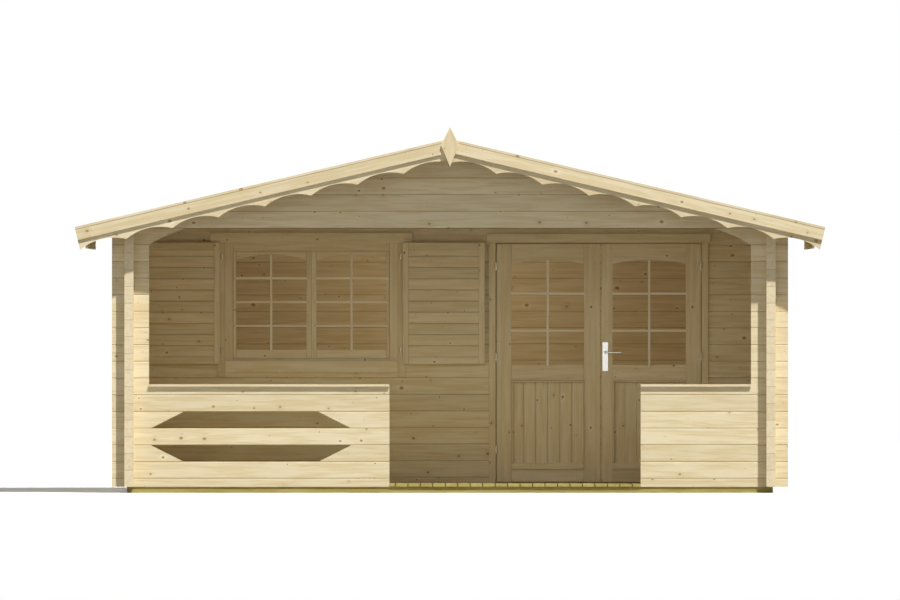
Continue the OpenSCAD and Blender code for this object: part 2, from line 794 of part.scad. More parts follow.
// Frame and panel of a leaf from x0 to x1; its glass runs from g0 to g1
module door_leaf(x0, x1, g0, g1) {
    middle = (leaf_face + leaf_back) / 2;
    boards = round((g1 - g0) / panel_board_w);
    difference() {
        union() {
            block([x0, leaf_face, leaf_z], [g0, leaf_back, leaf_top]);
            block([g1, leaf_face, leaf_z], [x1, leaf_back, leaf_top]);
            block([g0 + joint_gap, leaf_face, leaf_z], [g1 - joint_gap, leaf_back, panel_z]);
            block([g0 + joint_gap, leaf_face, middle_rail_z],
                  [g1 - joint_gap, leaf_back, door_glass_z]);
            across(leaf_face, leaf_back) difference() {
                translate([g0 + joint_gap, door_crown_z - door_arch])
                    square([g1 - g0 - 2 * joint_gap, leaf_top - door_crown_z + door_arch]);
                door_pane(g0, g1, 0);
            }
        }
        door_glass_slot(g0, g1);
    }
    // tongued and grooved boards of the panel
    translate([(g0 + g1) / 2, middle, panel_z + joint_gap])
        linear_extrude(panel_h - 2 * joint_gap) rotate(90)
            grooved_section(panel_t, -(g1 - g0) / 2 + joint_gap, (g1 - g0) / 2 - joint_gap,
                            -(g1 - g0) / 2, (g1 - g0) / boards, groove_d, groove_d);
    // drip bar over the foot of the panel
    translate([0, middle - panel_t / 2 - joint_gap, panel_z + joint_gap])
        along(g0 + joint_gap, g1 - joint_gap)
            polygon([[0, 0], [-drip_t, 0], [-drip_t, drip_h / 3],
                     [-drip_lip_t, drip_h], [0, drip_h]]);
}

module left_door_leaf()
    color("#d6c08f") {
        door_leaf(left_leaf_x0, left_leaf_x1,
                  left_leaf_x0 + hinge_stile_w, left_leaf_x1 - left_meeting_w);
        block([left_leaf_x1 - cover_w, leaf_face - cover_t, leaf_z],
              [left_leaf_x1, leaf_face - joint_gap, leaf_top]);
    }

module right_door_leaf()
    color("#d6c08f") difference() {
        door_leaf(right_leaf_x0, right_leaf_x1,
                  right_leaf_x0 + right_meeting_w, right_leaf_x1 - hinge_stile_w);
        spindle_bore();
    }

module door_glass(g0, g1)
    color("#8a8f86", 0.5)
        across((leaf_face + leaf_back - glass_t) / 2, (leaf_face + leaf_back + glass_t) / 2)
            door_pane(g0, g1, glass_groove);

module left_door_glass()
    door_glass(left_leaf_x0 + hinge_stile_w, left_leaf_x1 - left_meeting_w);

module right_door_glass()
    door_glass(right_leaf_x0 + right_meeting_w, right_leaf_x1 - hinge_stile_w);

// Upper knuckles of one leaf; side is 1 where the leaf lies to the right of its axis
module door_knuckles(axis_x, side)
    color("#c9ccc8") for (z = door_hinge_zs) {
        bored_knuckle(axis_x, door_axis_y, z - knuckle_h);
        barrel_stem(axis_x + side * (leaf_gap / 2 + stem_r), leaf_face, z + knuckle_h / 2);
    }

module left_door_hinges() door_knuckles(left_door_axis_x, 1);

module right_door_hinges() door_knuckles(right_door_axis_x, -1);

module door_hinge_pins()
    color("#c9ccc8") for (z = door_hinge_zs, side = [-1, 1]) {
        axis_x = side < 0 ? left_door_axis_x : right_door_axis_x;
        pin_knuckle(axis_x, door_axis_y, z - knuckle_h);
        barrel_stem(axis_x + side * (leaf_gap / 2 + stem_r), casing_face, z - knuckle_h / 2);
    }

// ---- Handle -------------------------------------------------------------------

// Bore through the right leaf and its plates
module spindle_bore()
    translate([lever_x, leaf_face - over, lever_z]) rotate([-90, 0, 0])
        cylinder(r = spindle_r + pin_gap, h = leaf_t + 2 * over);

module handle_plates()
    color("#e8e9e6") difference() {
        union() {
            for (y = [leaf_face - plate_t - joint_gap, leaf_back + joint_gap])
                across(y, y + plate_t) hull() {
                    for (dx = [-1, 1], dz = [0, 1])
                        translate([lever_x + dx * (plate_w / 2 - plate_corner),
                                   lever_z + lever_drop - plate_corner
                                       - dz * (plate_h - 2 * plate_corner)])
                            circle(plate_corner, $fn = 24);
                }
        }
        spindle_bore();
    }

// One lever on the side that faces out of the leaf: out is -1 outside, 1 inside
module lever_arm(plate_face, out) {
    bar_y = plate_face + out * lever_stand;
    low = min(plate_face + out, bar_y);
    high = max(plate_face + out, bar_y);
    translate([lever_x, low, lever_z]) rotate([-90, 0, 0]) cylinder(r = neck_r, h = high - low);
    translate([lever_x, bar_y, lever_z]) sphere(r = neck_r);
    translate([lever_x, bar_y, lever_z]) rotate([0, 90, 0])
        cylinder(r = lever_r, h = lever_len - lever_r);
    translate([lever_x + lever_len - lever_r, bar_y, lever_z]) sphere(r = lever_r);
}

module door_lever() {
    outer = leaf_face - joint_gap - plate_t;
    inner = leaf_back + joint_gap + plate_t;
    color("#e8e9e6") union() {
        translate([lever_x, outer - 2, lever_z]) rotate([-90, 0, 0])
            cylinder(r = spindle_r, h = inner - outer + 4);
        lever_arm(outer, -1);
        lever_arm(inner, 1);
    }
}

// ---- Window -------------------------------------------------------------------

module window_frame() {
    stop_x = window_half - window_stop_w;
    foot = window_sill_z + seat_gap;
    color("#cdb685") translate([window_x, 0, 0]) {
        both_sides() {
            block([window_half, wall_face, foot], [window_outer, wall_back, frame_top]);
            block([stop_x, sash_back + seat_gap, foot], [window_outer, wall_back, frame_top]);
        }
        block([-window_half + joint_gap, wall_face, sash_top],
              [window_half - joint_gap, sash_back, frame_top]);
        block([-stop_x + joint_gap, sash_back + seat_gap, sash_top - window_stop_w],
              [stop_x - joint_gap, wall_back, frame_top]);
        block([-window_half + joint_gap, wall_face, foot],
              [window_half - joint_gap, sash_back, sash_z]);
        block([-stop_x + joint_gap, sash_back + seat_gap, foot],
              [stop_x - joint_gap, wall_back, sash_z + window_stop_w]);
    }
}

// Window casings: sides, apron and a longer head
module window_casings()
    color("#d2bb8b") translate([window_x, 0, 0]) {
        both_sides()
            block([window_casing_in, casing_face, window_casing_z],
                  [window_casing_out, wall_face, window_head_z - joint_gap]);
        block([-window_casing_in + joint_gap, casing_face,
               window_casing_z + window_apron_rise],
              [window_casing_in - joint_gap, wall_face, sash_z - window_casing_lap]);
        block([-window_casing_out - window_head_ear, casing_face, window_head_z],
              [window_casing_out + window_head_ear, wall_face, window_head_z + window_head_h]);
    }

// Glass edges of the right sash, from the middle of the window
sash_g0 = sash_meeting_w;
sash_g1 = window_half - sash_play - sash_stile_w;

module sash_pane(grow)
    arched_pane(sash_g0, sash_g1, sash_z + sash_rail_h, sash_top - sash_crown_h,
                sash_arch, grow);

module window_sashes()
    color("#d6c08f") translate([window_x, 0, 0]) both_sides() difference() {
        union() {
            block([joint_gap / 2, sash_face, sash_z + seat_gap],
                  [sash_g0, sash_back, sash_top - sash_play]);
            block([sash_g1, sash_face, sash_z + seat_gap],
                  [window_half - sash_play, sash_back, sash_top - sash_play]);
            block([sash_g0 + joint_gap, sash_face, sash_z + seat_gap],
                  [sash_g1 - joint_gap, sash_back, sash_z + sash_rail_h]);
            across(sash_face, sash_back) difference() {
                translate([sash_g0 + joint_gap, sash_top - sash_crown_h - sash_arch])
                    square([sash_g1 - sash_g0 - 2 * joint_gap,
                            sash_crown_h + sash_arch - sash_play]);
                sash_pane(0);
            }
        }
        across((sash_face + sash_back - glass_t) / 2 - seat_gap,
               (sash_face + sash_back + glass_t) / 2 + seat_gap)
            sash_pane(glass_groove + seat_gap);
    }

module window_glass()
    color("#8a8f86", 0.5) translate([window_x, 0, 0]) both_sides()
        across((sash_face + sash_back - glass_t) / 2, (sash_face + sash_back + glass_t) / 2)
            sash_pane(glass_groove);

// ---- Shutters -----------------------------------------------------------------

// Right shutter, standing open beside the window
module shutter() {
    x0 = shutter_axis_edge;
    x1 = x0 + shutter_w;
    top = shutter_top;
    front = shutter_back - shutter_t;
    in0 = x0 + shutter_stile_w + joint_gap;
    in1 = x1 - shutter_stile_w - joint_gap;
    low = shutter_z + shutter_rail_h;
    high = top - shutter_rail_h;
    block([x0, front, shutter_z], [x0 + shutter_stile_w, shutter_back, top]);
    block([x1 - shutter_stile_w, front, shutter_z], [x1, shutter_back, top]);
    block([in0, front, shutter_z], [in1, shutter_back, low]);
    block([in0, front, high], [in1, shutter_back, top]);
    translate([0, shutter_axis_y, 0]) along(in0, in1)
        grooved_section(shutter_board_t, low + joint_gap, high - joint_gap,
                        low, shutter_board_w, groove_d, groove_d);
}

module left_shutter()
    color("#d6c08f") translate([left_shutter_axis_x, 0, 0]) mirror([1, 0, 0]) shutter();

module right_shutter()
    color("#d6c08f") translate([right_shutter_axis_x, 0, 0]) shutter();

// Upper knuckles of a shutter that lies to the right of its axis
module shutter_knuckles()
    for (z = shutter_hinge_zs) {
        bored_knuckle(0, shutter_axis_y, z - shutter_knuckle_h,
                      shutter_knuckle_h, shutter_pin_len);
        difference() {
            translate([0, shutter_axis_y, z + shutter_knuckle_h / 2]) rotate([0, 90, 0])
                cylinder(r = stem_r, h = shutter_axis_edge);
            translate([0, shutter_axis_y, z - shutter_knuckle_h])
                cylinder(r = barrel_r - 1, h = 3 * shutter_knuckle_h);
        }
    }

module left_shutter_hinges()
    color("#c9ccc8") translate([left_shutter_axis_x, 0, 0]) mirror([1, 0, 0]) shutter_knuckles();

module right_shutter_hinges()
    color("#c9ccc8") translate([right_shutter_axis_x, 0, 0]) shutter_knuckles();

module shutter_hinge_pins()
    color("#c9ccc8") for (x = [left_shutter_axis_x, right_shutter_axis_x], z = shutter_hinge_zs) {
        pin_knuckle(x, shutter_axis_y, z - shutter_knuckle_h,
                    shutter_knuckle_h, shutter_pin_len);
        stem(x, shutter_axis_y, casing_face, z - shutter_knuckle_h / 2);
    }

bearers();
veranda_deck();
room_floor();
left_side_wall();
right_side_wall();
rear_wall();
front_wall_sill();
front_wall_left_pier();
front_wall_middle_pier();
front_wall_right_pier();
front_wall_gable();
veranda_gable();
corner_posts();
corner_brackets();
left_balustrade_logs();
left_balustrade_blocks();
right_balustrade();
cap_rails();
purlins();
left_roof_deck();
right_roof_deck();
eave_fascias();
barge_boards();
scalloped_boards();
verge_strips();
ridge_finial();
door_frame();
door_casings();
left_door_leaf();
right_door_leaf();
left_door_glass();
right_door_glass();
left_door_hinges();
right_door_hinges();
door_hinge_pins();
handle_plates();
door_lever();
window_frame();
window_casings();
window_sashes();
window_glass();
left_shutter();
right_shutter();
left_shutter_hinges();
right_shutter_hinges();
shutter_hinge_pins();
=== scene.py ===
"""Garden log cabin: the finishes and fine pieces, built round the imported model.

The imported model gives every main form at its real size. This script lays the deck,
floor and roof boards, adds glazing bars, panel beads, screws and the lock's cylinder,
eases the edges of the joinery and gives each surface its finish. Lengths in the classes
are in millimetres.
"""
from __future__ import annotations

import json
import logging
import math
import random
from dataclasses import dataclass, field
from enum import Enum
from typing import Any, Iterable, Sequence

import bmesh
import bpy
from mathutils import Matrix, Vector

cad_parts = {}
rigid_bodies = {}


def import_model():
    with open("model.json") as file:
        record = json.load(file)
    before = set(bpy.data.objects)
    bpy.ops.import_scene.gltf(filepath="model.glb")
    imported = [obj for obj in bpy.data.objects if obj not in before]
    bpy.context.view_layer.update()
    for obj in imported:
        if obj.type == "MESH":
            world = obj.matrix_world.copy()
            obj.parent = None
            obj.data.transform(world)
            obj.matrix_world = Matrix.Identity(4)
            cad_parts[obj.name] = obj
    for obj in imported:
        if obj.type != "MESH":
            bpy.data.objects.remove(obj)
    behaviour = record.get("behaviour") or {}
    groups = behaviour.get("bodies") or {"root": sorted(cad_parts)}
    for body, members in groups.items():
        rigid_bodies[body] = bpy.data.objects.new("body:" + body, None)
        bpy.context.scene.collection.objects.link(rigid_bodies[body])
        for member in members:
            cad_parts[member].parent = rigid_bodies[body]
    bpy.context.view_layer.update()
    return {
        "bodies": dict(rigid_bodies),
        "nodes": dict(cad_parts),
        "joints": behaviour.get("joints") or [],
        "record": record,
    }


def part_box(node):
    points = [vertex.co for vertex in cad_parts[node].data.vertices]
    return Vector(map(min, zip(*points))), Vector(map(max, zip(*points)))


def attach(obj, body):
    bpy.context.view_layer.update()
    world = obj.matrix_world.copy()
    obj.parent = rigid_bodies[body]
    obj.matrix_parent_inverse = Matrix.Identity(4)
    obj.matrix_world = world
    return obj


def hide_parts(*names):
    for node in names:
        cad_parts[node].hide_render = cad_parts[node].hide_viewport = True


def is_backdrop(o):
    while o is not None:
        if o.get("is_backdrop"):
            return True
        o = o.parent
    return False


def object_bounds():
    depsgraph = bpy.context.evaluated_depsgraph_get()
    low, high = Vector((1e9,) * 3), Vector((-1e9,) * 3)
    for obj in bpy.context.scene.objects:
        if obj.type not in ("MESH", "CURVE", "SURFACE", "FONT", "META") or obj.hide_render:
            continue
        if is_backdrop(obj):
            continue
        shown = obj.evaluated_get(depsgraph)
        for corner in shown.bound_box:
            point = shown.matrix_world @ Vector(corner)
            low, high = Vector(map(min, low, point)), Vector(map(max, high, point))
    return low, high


LOG = logging.getLogger("cabin")
MM = 0.001
PITCH = math.radians(13.22)
TOLERANCE = 0.00002
# edges sharper than this are eased, by this width on joinery
SHARP = math.radians(35.0)
JOINERY_EASE = 1.5
# a face counts as end grain where its normal runs along the fibres by more than this
END_FACING = 0.7
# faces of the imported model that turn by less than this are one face
FLAT = math.radians(0.6)
# a plank width that stands for no planks at all
NO_PLANKS = 10000.0
# draws set aside for each solid; the first is its tone
DRAWS_A_SOLID = 200
# how far a tone of one moves a pattern along the grain, in mm
TONE_SHIFT = 97000.0
# how far the middle of a screw's head lies off its surface, in mm
HEAD_OFF = 0.2

Mesh = bpy.types.Mesh
Piece = bpy.types.Object
Material = bpy.types.Material
Tree = bpy.types.NodeTree
Form = bmesh.types.BMesh
Face = bmesh.types.BMFace
Point2 = tuple[float, float]
Links = dict[Any, Any]

# the nodes for sums of numbers and of vectors
MATHS = "ShaderNodeMath"
VECTORS = "ShaderNodeVectorMath"


class Axis(Enum):
    """An axis of the cabin's own frame."""

    X = 0
    Y = 1
    Z = 2


class Grain(Enum):
    """The way in which the fibres of a piece run."""

    ACROSS = "x"
    BACKWARDS = "y"
    UPRIGHT = "z"
    SLOPE = "down the roof"
    OWN = "as the piece's own attributes say"


# ---- Small helpers ------------------------------------------------------------


def linear(hex_colour: str) -> tuple[float, float, float, float]:
    """Turns an sRGB hex colour into a linear one.

    Args:
        hex_colour: Six hex digits after a hash.

    Returns:
        Red, green, blue and an alpha of one.
    """
    parts = [int(hex_colour[i : i + 2], 16) / 255 for i in (1, 3, 5)]
    low = [c / 12.92 if c <= 0.04045 else ((c + 0.055) / 1.055) ** 2.4 for c in parts]
    return (low[0], low[1], low[2], 1.0)


def add_node(tree: Tree, kind: str, links: Links | None = None,
             **settings: Any) -> bpy.types.Node:
    """Adds a node with its settings, values and links.

    Args:
        tree: The tree that gets the node.
        kind: The node's type name.
        links: What each input gets, by name or number: the first output of a node, a
            socket or a plain value.
        **settings: Properties of the node itself.

    Returns:
        The new node.
    """
    node = tree.nodes.new(kind)
    for name, value in settings.items():
        setattr(node, name, value)
    for key, value in (links or {}).items():
        if isinstance(value, bpy.types.Node):
            value = value.outputs[0]
        if isinstance(value, bpy.types.NodeSocket):
            tree.links.new(value, node.inputs[key])
        else:
            node.inputs[key].default_value = value
    return node


def blank_material(name: str) -> tuple[Material, Tree]:
    """Makes a material whose tree is empty.

    Args:
        name: The real finish's name.

    Returns:
        The material and its tree.
    """
    material = bpy.data.materials.new(name)
    material.use_nodes = True
    material.node_tree.nodes.clear()
    return material, material.node_tree


def link_object(name: str, mesh: Mesh) -> Piece:
    """Puts a mesh into the scene as an object at the origin.

    Args:
        name: Name of the object.
        mesh: Its mesh.

    Returns:
        The object.
    """
    piece = bpy.data.objects.new(name, mesh)
    bpy.context.scene.collection.objects.link(piece)
    return piece


def settle(piece: Piece, body: str, material: Material,
           replaced: Sequence[str] = ()) -> Piece:
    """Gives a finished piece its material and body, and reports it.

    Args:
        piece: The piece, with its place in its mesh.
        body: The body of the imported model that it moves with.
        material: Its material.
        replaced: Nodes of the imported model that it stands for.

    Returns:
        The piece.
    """
    if not piece.data.materials:
        piece.data.materials.append(material)
    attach(piece, body)
    if replaced:
        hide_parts(*replaced)
    LOG.info("%s: %d faces on %s", piece.name, len(piece.data.polygons), body)
    return piece


def mesh_of(form: Form, name: str) -> Mesh:
    """Turns a form into a mesh and frees the form.

    Args:
        form: The form.
        name: Name of the mesh.

    Returns:
        The mesh.
    """
    mesh = bpy.data.meshes.new(name)
    form.to_mesh(mesh)
    form.free()
    return mesh


def spanned(ends: Sequence[Sequence[Vector]], name: str, edge: float = 0.0) -> Mesh:
    """Spans a closed solid between two outlines of as many points.

    Args:
        ends: The two outlines, in mm.
        name: Name of the mesh.
        edge: Width of the easing on its edges, in mm.

    Returns:
        A closed mesh in metres.
    """
    form = bmesh.new()
    start, stop = ([form.verts.new(point * MM) for point in end] for end in ends)
    form.faces.new(start)
    form.faces.new(stop)
    for i in range(len(start)):
        j = (i + 1) % len(start)
        form.faces.new((start[i], start[j], stop[j], stop[i]))
    bmesh.ops.recalc_face_normals(form, faces=form.faces[:])
    if edge:
        ease_edges(form, edge)
    return mesh_of(form, name)


def prism(points: Sequence[Point2], axis: Axis, low: float, high: float,
          edge: float = 0.0) -> Mesh:
    """Extrudes a flat outline along one axis.

    Args:
        points: The outline in the other two axes, in their X, Y, Z order, in mm.
        axis: The axis to extrude along.
        low: Where the solid starts on that axis, in mm.
        high: Where it ends.
        edge: Width of the easing on its edges, in mm.

    Returns:
        A closed mesh in metres.
    """
    at = axis.value
    return spanned([[Vector((*p[:at], station, *p[at:])) for p in points]
                    for station in (low, high)], "prism", edge)


def ease_edges(form: Form, width: float) -> None:
    """Rounds the sharp edges of a form and marks the new faces, which get painted shade.

    Args:
        form: The form to change.
        width: Width of the easing, in mm.
    """
    # the faces of the easing are marked, so that the wood paints shade on them
    layer = form.loops.layers.float.new("edge")
    sharp = [e for e in form.edges
             if len(e.link_faces) == 2 and e.calc_face_angle(0) > SHARP]
    made = bmesh.ops.bevel(form, geom=sharp, offset=width * MM, segments=2, profile=0.7,
                           affect="EDGES", clamp_overlap=True)
    for face in made["faces"]:
        for loop in face.loops:
            loop[layer] = 1.0


def joined(name: str, meshes: Iterable[Mesh]) -> Mesh:
    """Joins meshes, with their attributes, into one.

    Args:
        name: Name of the joined mesh.
        meshes: The meshes.

    Returns:
        The joined mesh.
    """
    pieces = [link_object(name, mesh) for mesh in meshes]
    with bpy.context.temp_override(active_object=pieces[0], object=pieces[0],
                                   selected_editable_objects=pieces, selected_objects=pieces):
        if len(pieces) > 1:
            bpy.ops.object.join()
    mesh = pieces[0].data
    bpy.data.objects.remove(pieces[0])
    mesh.name = name
    return mesh


# ---- Wood that follows the piece ----------------------------------------------


@dataclass
class WoodMarker:
    """Writes the grain's own coordinates on a mesh, so that a pattern follows each member.

    The attribute wood holds millimetres along, across and through the member, end is 1
    on its end grain and tone is a number from 0 to 1 that sets one member off from another.
    """

    grain: Grain
    with_tone: bool = True
    slope: float = 0.0
    seed: int = 1

    def _place(self, point: Vector) -> Vector:
        """Turns a point, or a direction, so that a sloping member lies level.

        Args:
            point: The point or direction.

        Returns:
            It, turned.
        """
        if not self.slope:
            return point
        c, s = math.cos(self.slope), math.sin(self.slope)
        return Vector((point.x * c - point.z * s, point.y, point.x * s + point.z * c))

    def _axes(self, size: Vector) -> tuple[int, int, int]:
        """Picks the axes of a member.

        Args:
            size: How large it is along X, Y and Z.

        Returns:
            The numbers of the axes along, across and through it.
        """
        order = {Grain.ACROSS: 0, Grain.BACKWARDS: 1, Grain.UPRIGHT: 2}
        along = order[self.grain] if self.grain in order else max(range(3), key=lambda i: size[i])
        rest = sorted((i for i in range(3) if i != along), key=lambda i: -size[i])
        return along, rest[0], rest[1]

    def mark(self, mesh: Mesh) -> Mesh:
        """Marks every separate solid of a mesh.

        Args:
            mesh: A merged mesh in metres.

        Returns:
            The same mesh, with its attributes.
        """
        draw = random.Random(self.seed)
        form = bmesh.new()
        form.from_mesh(mesh)
        wood = form.loops.layers.float_vector.new("wood")
        end = form.loops.layers.float.new("end")
        tone = form.loops.layers.float.new("tone") if self.with_tone else None
        seen: set[Face] = set()
        for first in form.faces:
            if first in seen:
                continue
            island = [first]
            seen.add(first)
            for face in island:
                near = {f for v in face.verts for f in v.link_faces} - seen
                seen |= near
                island.extend(sorted(near, key=lambda f: f.index))
            shade = [draw.random() for _ in range(DRAWS_A_SOLID)][0]
            self._mark_solid(island, wood, end, tone, shade)
        form.to_mesh(mesh)
        form.free()
        return mesh

    def _mark_solid(self, faces: list[Face], wood: Any, end: Any, tone: Any,
                    shade: float) -> None:
        """Marks the faces of one solid.

        Args:
            faces: Its faces.
            wood: The layer of coordinates.
            end: The layer of the end mask.
            tone: The layer of the tone, if it gets one.
            shade: The tone.
        """
        corners = [self._place(v.co) for f in faces for v in f.verts]
        low = Vector([min(c[i] for c in corners) for i in range(3)])
        high = Vector([max(c[i] for c in corners) for i in range(3)])
        along, across, through = self._axes(high - low)
        middle = (low + high) / 2 / MM
        for face in faces:
            is_end = 1.0 if abs(self._place(face.normal)[along]) > END_FACING else 0.0
            for loop in face.loops:
                place = self._place(loop.vert.co) / MM
                loop[wood] = (place[along], place[across] - middle[across],
                              place[through] - middle[through])
                loop[end] = is_end
                if tone:
                    loop[tone] = shade


# ---- Finishes -----------------------------------------------------------------


@dataclass(frozen=True)
class PlanedWood:
    """Planed softwood: fine growth rings, round knots and a dry, slightly silky face.

    The noises and the cells of the knots are given by their length along the grain and
    their width across it.
    """

    name: str
    early: str
    late: str
    heart: str
    knot: str
    # colour of the open joints, and of the shade painted on eased edges
    gap: str = "#5b4526"
    bark: str = "#5a3c20"
    grain: Grain = Grain.OWN
    plank_axis: Axis = Axis.Z
    plank_mm: float = NO_PLANKS
    plank_first: float = 0.0
    depth_mm: float = 0.0
    ring_mm: float = 14.0
    end_ring_mm: float = 6.0
    pith_mm: float = 38.0
    wobble_mm: Point2 = (700.0, 90.0)
    fibre_mm: Point2 = (50.0, 1.5)
    flame_mm: Point2 = (330.0, 26.0)
    knot_cell_mm: Point2 = (170.0, 95.0)
    knots: float = 0.42
    knot_mm: Point2 = (2.5, 13.0)
    joint_mm: float = 0.0
    joint_core_mm: float = 0.8
    joint_dark: float = 0.34
    # strength of the shade painted on eased edges
    edge_dark: float = 0.18
    tone_spread: float = 0.05
    roughness: float = 0.62
    rough_spread: float = 0.18
    relief_mm: float = 0.4

    def material(self) -> Material:
        """Builds the material.

        Returns:
            The material.
        """
        material, tree = blank_material(self.name)
        WoodFace(tree, self).draw()
        return material


@dataclass
class WoodFace:
    """Draws planed wood into the tree of its material.

    The place is in mm along, across and through the member. The masks are 1 on end grain,
    on the core and dark rim of a knot, and on the wood that bends round it.
    """

    # knots: how their edge frays, the skew of their sizes, the widths of the rim in mm, the
    # core and halo in shares of the size, how oval they are and the middle of the swirls
    FRAY, SKEW, RIM, INNER, HALO = 1.5, 2.4, (0.4, 2.0), 0.7, 4.5
    OVAL, EVEN = (0.75, 1.0, 0.0), 0.55
    # rings: by how many they wander, bend round a knot and lean through the member
    WANDER, BEND, LEAN = 7.0, 1.6, 0.4
    # how strongly summer wood, a knot's core and its rim show
    SUMMER, CORE, BARK = 0.6, 0.8, 0.7
    # where the noise turns to heartwood, and how much warmer darker wood is in green, blue
    FLAME, WARMER = (0.38, 0.62), (1.12, 1.4)
    # what end grain adds to rings, sapwood and level, and what a swirl adds to the level
    END_RINGS, END_SAP, END_LEVEL, SWIRL = -0.6, -0.2, -0.01, 0.2
    # what the side of the cabin adds to the seed of a member's tone
    SIDE = 0.31

    tree: Tree
    wood: PlanedWood
    place: Any = None
    tone: Any = None
    end: Any = None
    fibre: Any = None
    core: Any = None
    rim: Any = None
    halo: Any = None
    swirl: Any = None

    def draw(self) -> None:
        """Draws the whole of it."""
        tree, wood = self.tree, self.wood
        if wood.grain is Grain.OWN:
            self._read()
        else:
            self._work_out()
        # each member takes its pattern from a stretch of its own
        shift = add_node(tree, MATHS, {0: self.tone, 1: TONE_SHIFT}, operation="MULTIPLY")
        shift = add_node(tree, "ShaderNodeCombineXYZ", {0: shift})
        self.place = add_node(tree, VECTORS, {0: self.place, 1: shift}, operation="ADD")
        self.fibre = self._stretched(wood.fibre_mm, 3.0)
        self._knots()
        ring = self._rings()
        colour = self._colour(ring)
        if wood.joint_mm:
            colour = self._joints(colour)
        # pieces that carry their own attributes get shade painted on their eased edges
        if wood.grain is Grain.OWN:
            colour = self._worn_edges(colour)
        height = add_node(tree, MATHS, {0: ring, 1: 0.5}, operation="MULTIPLY")
        height = add_node(tree, MATHS, {0: self.fibre, 1: 0.7, 2: height},
                          operation="MULTIPLY_ADD")
        rough = add_node(tree, MATHS, {
            0: self.fibre, 1: wood.rough_spread, 2: wood.roughness - wood.rough_spread / 2},
            operation="MULTIPLY_ADD")
        bump = add_node(tree, "ShaderNodeBump", {
            "Height": height, "Strength": 0.35, "Distance": wood.relief_mm * MM})
        shader = add_node(tree, "ShaderNodeBsdfPrincipled", {
            "Base Color": colour, "Roughness": rough, "Normal": bump, "IOR": 1.5,
            "Specular IOR Level": 0.35})
        add_node(tree, "ShaderNodeOutputMaterial", {"Surface": shader})

    def _stretched(self, size: Point2, detail: float) -> Any:
        """Draws a pattern that is stretched along the grain.

        Args:
            size: Length and width of its features, in mm.
            detail: How many finer layers it has.

        Returns:
            Its strength, about 0.5 on average.
        """
        shares = (1 / size[0], 1 / size[1], 1 / size[1])
        place = add_node(self.tree, VECTORS, {0: self.place, 1: shares}, operation="MULTIPLY")
        return add_node(self.tree, "ShaderNodeTexNoise", {
            "Vector": place, "Scale": 1.0, "Detail": detail}).outputs["Fac"]

    def _read(self) -> None:
        """Reads place, tone and end mask as a WoodMarker wrote them on the piece."""
        wood, tone, end = (add_node(self.tree, "ShaderNodeAttribute", attribute_name=name)
                           for name in ("wood", "tone", "end"))
        self.place = wood.outputs["Vector"]
        self.tone, self.end = tone.outputs["Fac"], end.outputs["Fac"]

    def _work_out(self) -> None:
        """Works place, tone and end mask out from the place in the cabin."""
        tree, wood, grain = self.tree, self.wood, self.wood.grain
        source = add_node(tree, "ShaderNodeTexCoord").outputs
        scaled = add_node(tree, VECTORS, {0: source["Object"], 3: 1 / MM}, operation="SCALE")
        x, y, z = add_node(tree, "ShaderNodeSeparateXYZ", {0: scaled}).outputs
        down, number = x, {Axis.X: x, Axis.Y: y, Axis.Z: z}[wood.plank_axis]
        if grain is Grain.SLOPE:
            flat = add_node(tree, MATHS, {0: x}, operation="ABSOLUTE")
            turned = add_node(tree, "ShaderNodeCombineXYZ", {0: flat, 1: 0.0, 2: z})
            turned = add_node(tree, "ShaderNodeVectorRotate", {
                "Vector": turned, "Angle": -PITCH}, rotation_type="Y_AXIS")
            down, _, number = add_node(tree, "ShaderNodeSeparateXYZ", {0: turned}).outputs
        steps = add_node(tree, MATHS, {0: number, 1: wood.plank_first}, operation="SUBTRACT")
        steps = add_node(tree, MATHS, {0: steps, 1: wood.plank_mm}, operation="DIVIDE")
        row = add_node(tree, MATHS, {0: steps}, operation="FLOOR")
        within = add_node(tree, MATHS, {0: steps}, operation="FRACT")
        within = add_node(tree, MATHS, {0: within, 1: 0.5}, operation="SUBTRACT")
        within = add_node(tree, MATHS, {0: within, 1: wood.plank_mm}, operation="MULTIPLY")
        seed = row
        if grain is Grain.SLOPE or wood.plank_mm >= NO_PLANKS:
            # the two sides of the cabin get wood of their own
            side = add_node(tree, MATHS, {0: x}, operation="SIGN")
            seed = add_node(tree, MATHS, {0: side, 1: self.SIDE, 2: row},
                            operation="MULTIPLY_ADD")
        self.tone = add_node(tree, "ShaderNodeTexWhiteNoise", {"W": seed},
                             noise_dimensions="1D").outputs["Value"]
        along = {Grain.BACKWARDS: 1, Grain.UPRIGHT: 2}.get(grain, 0)
        facing = add_node(tree, "ShaderNodeSeparateXYZ", {0: source["Normal"]}).outputs[along]
        facing = add_node(tree, MATHS, {0: facing}, operation="ABSOLUTE")
        self.end = add_node(tree, MATHS, {0: facing, 1: END_FACING},
                            operation="GREATER_THAN")
        deep = add_node(tree, MATHS, {0: y, 1: wood.depth_mm}, operation="SUBTRACT")
        height = within if wood.plank_axis is Axis.Z else z
        parts = {Grain.SLOPE: (down, within, deep), Grain.ACROSS: (x, height, deep),
                 Grain.BACKWARDS: (y, height, x), Grain.UPRIGHT: (z, x, deep)}
        self.place = add_node(tree, "ShaderNodeCombineXYZ", dict(enumerate(parts[grain])))

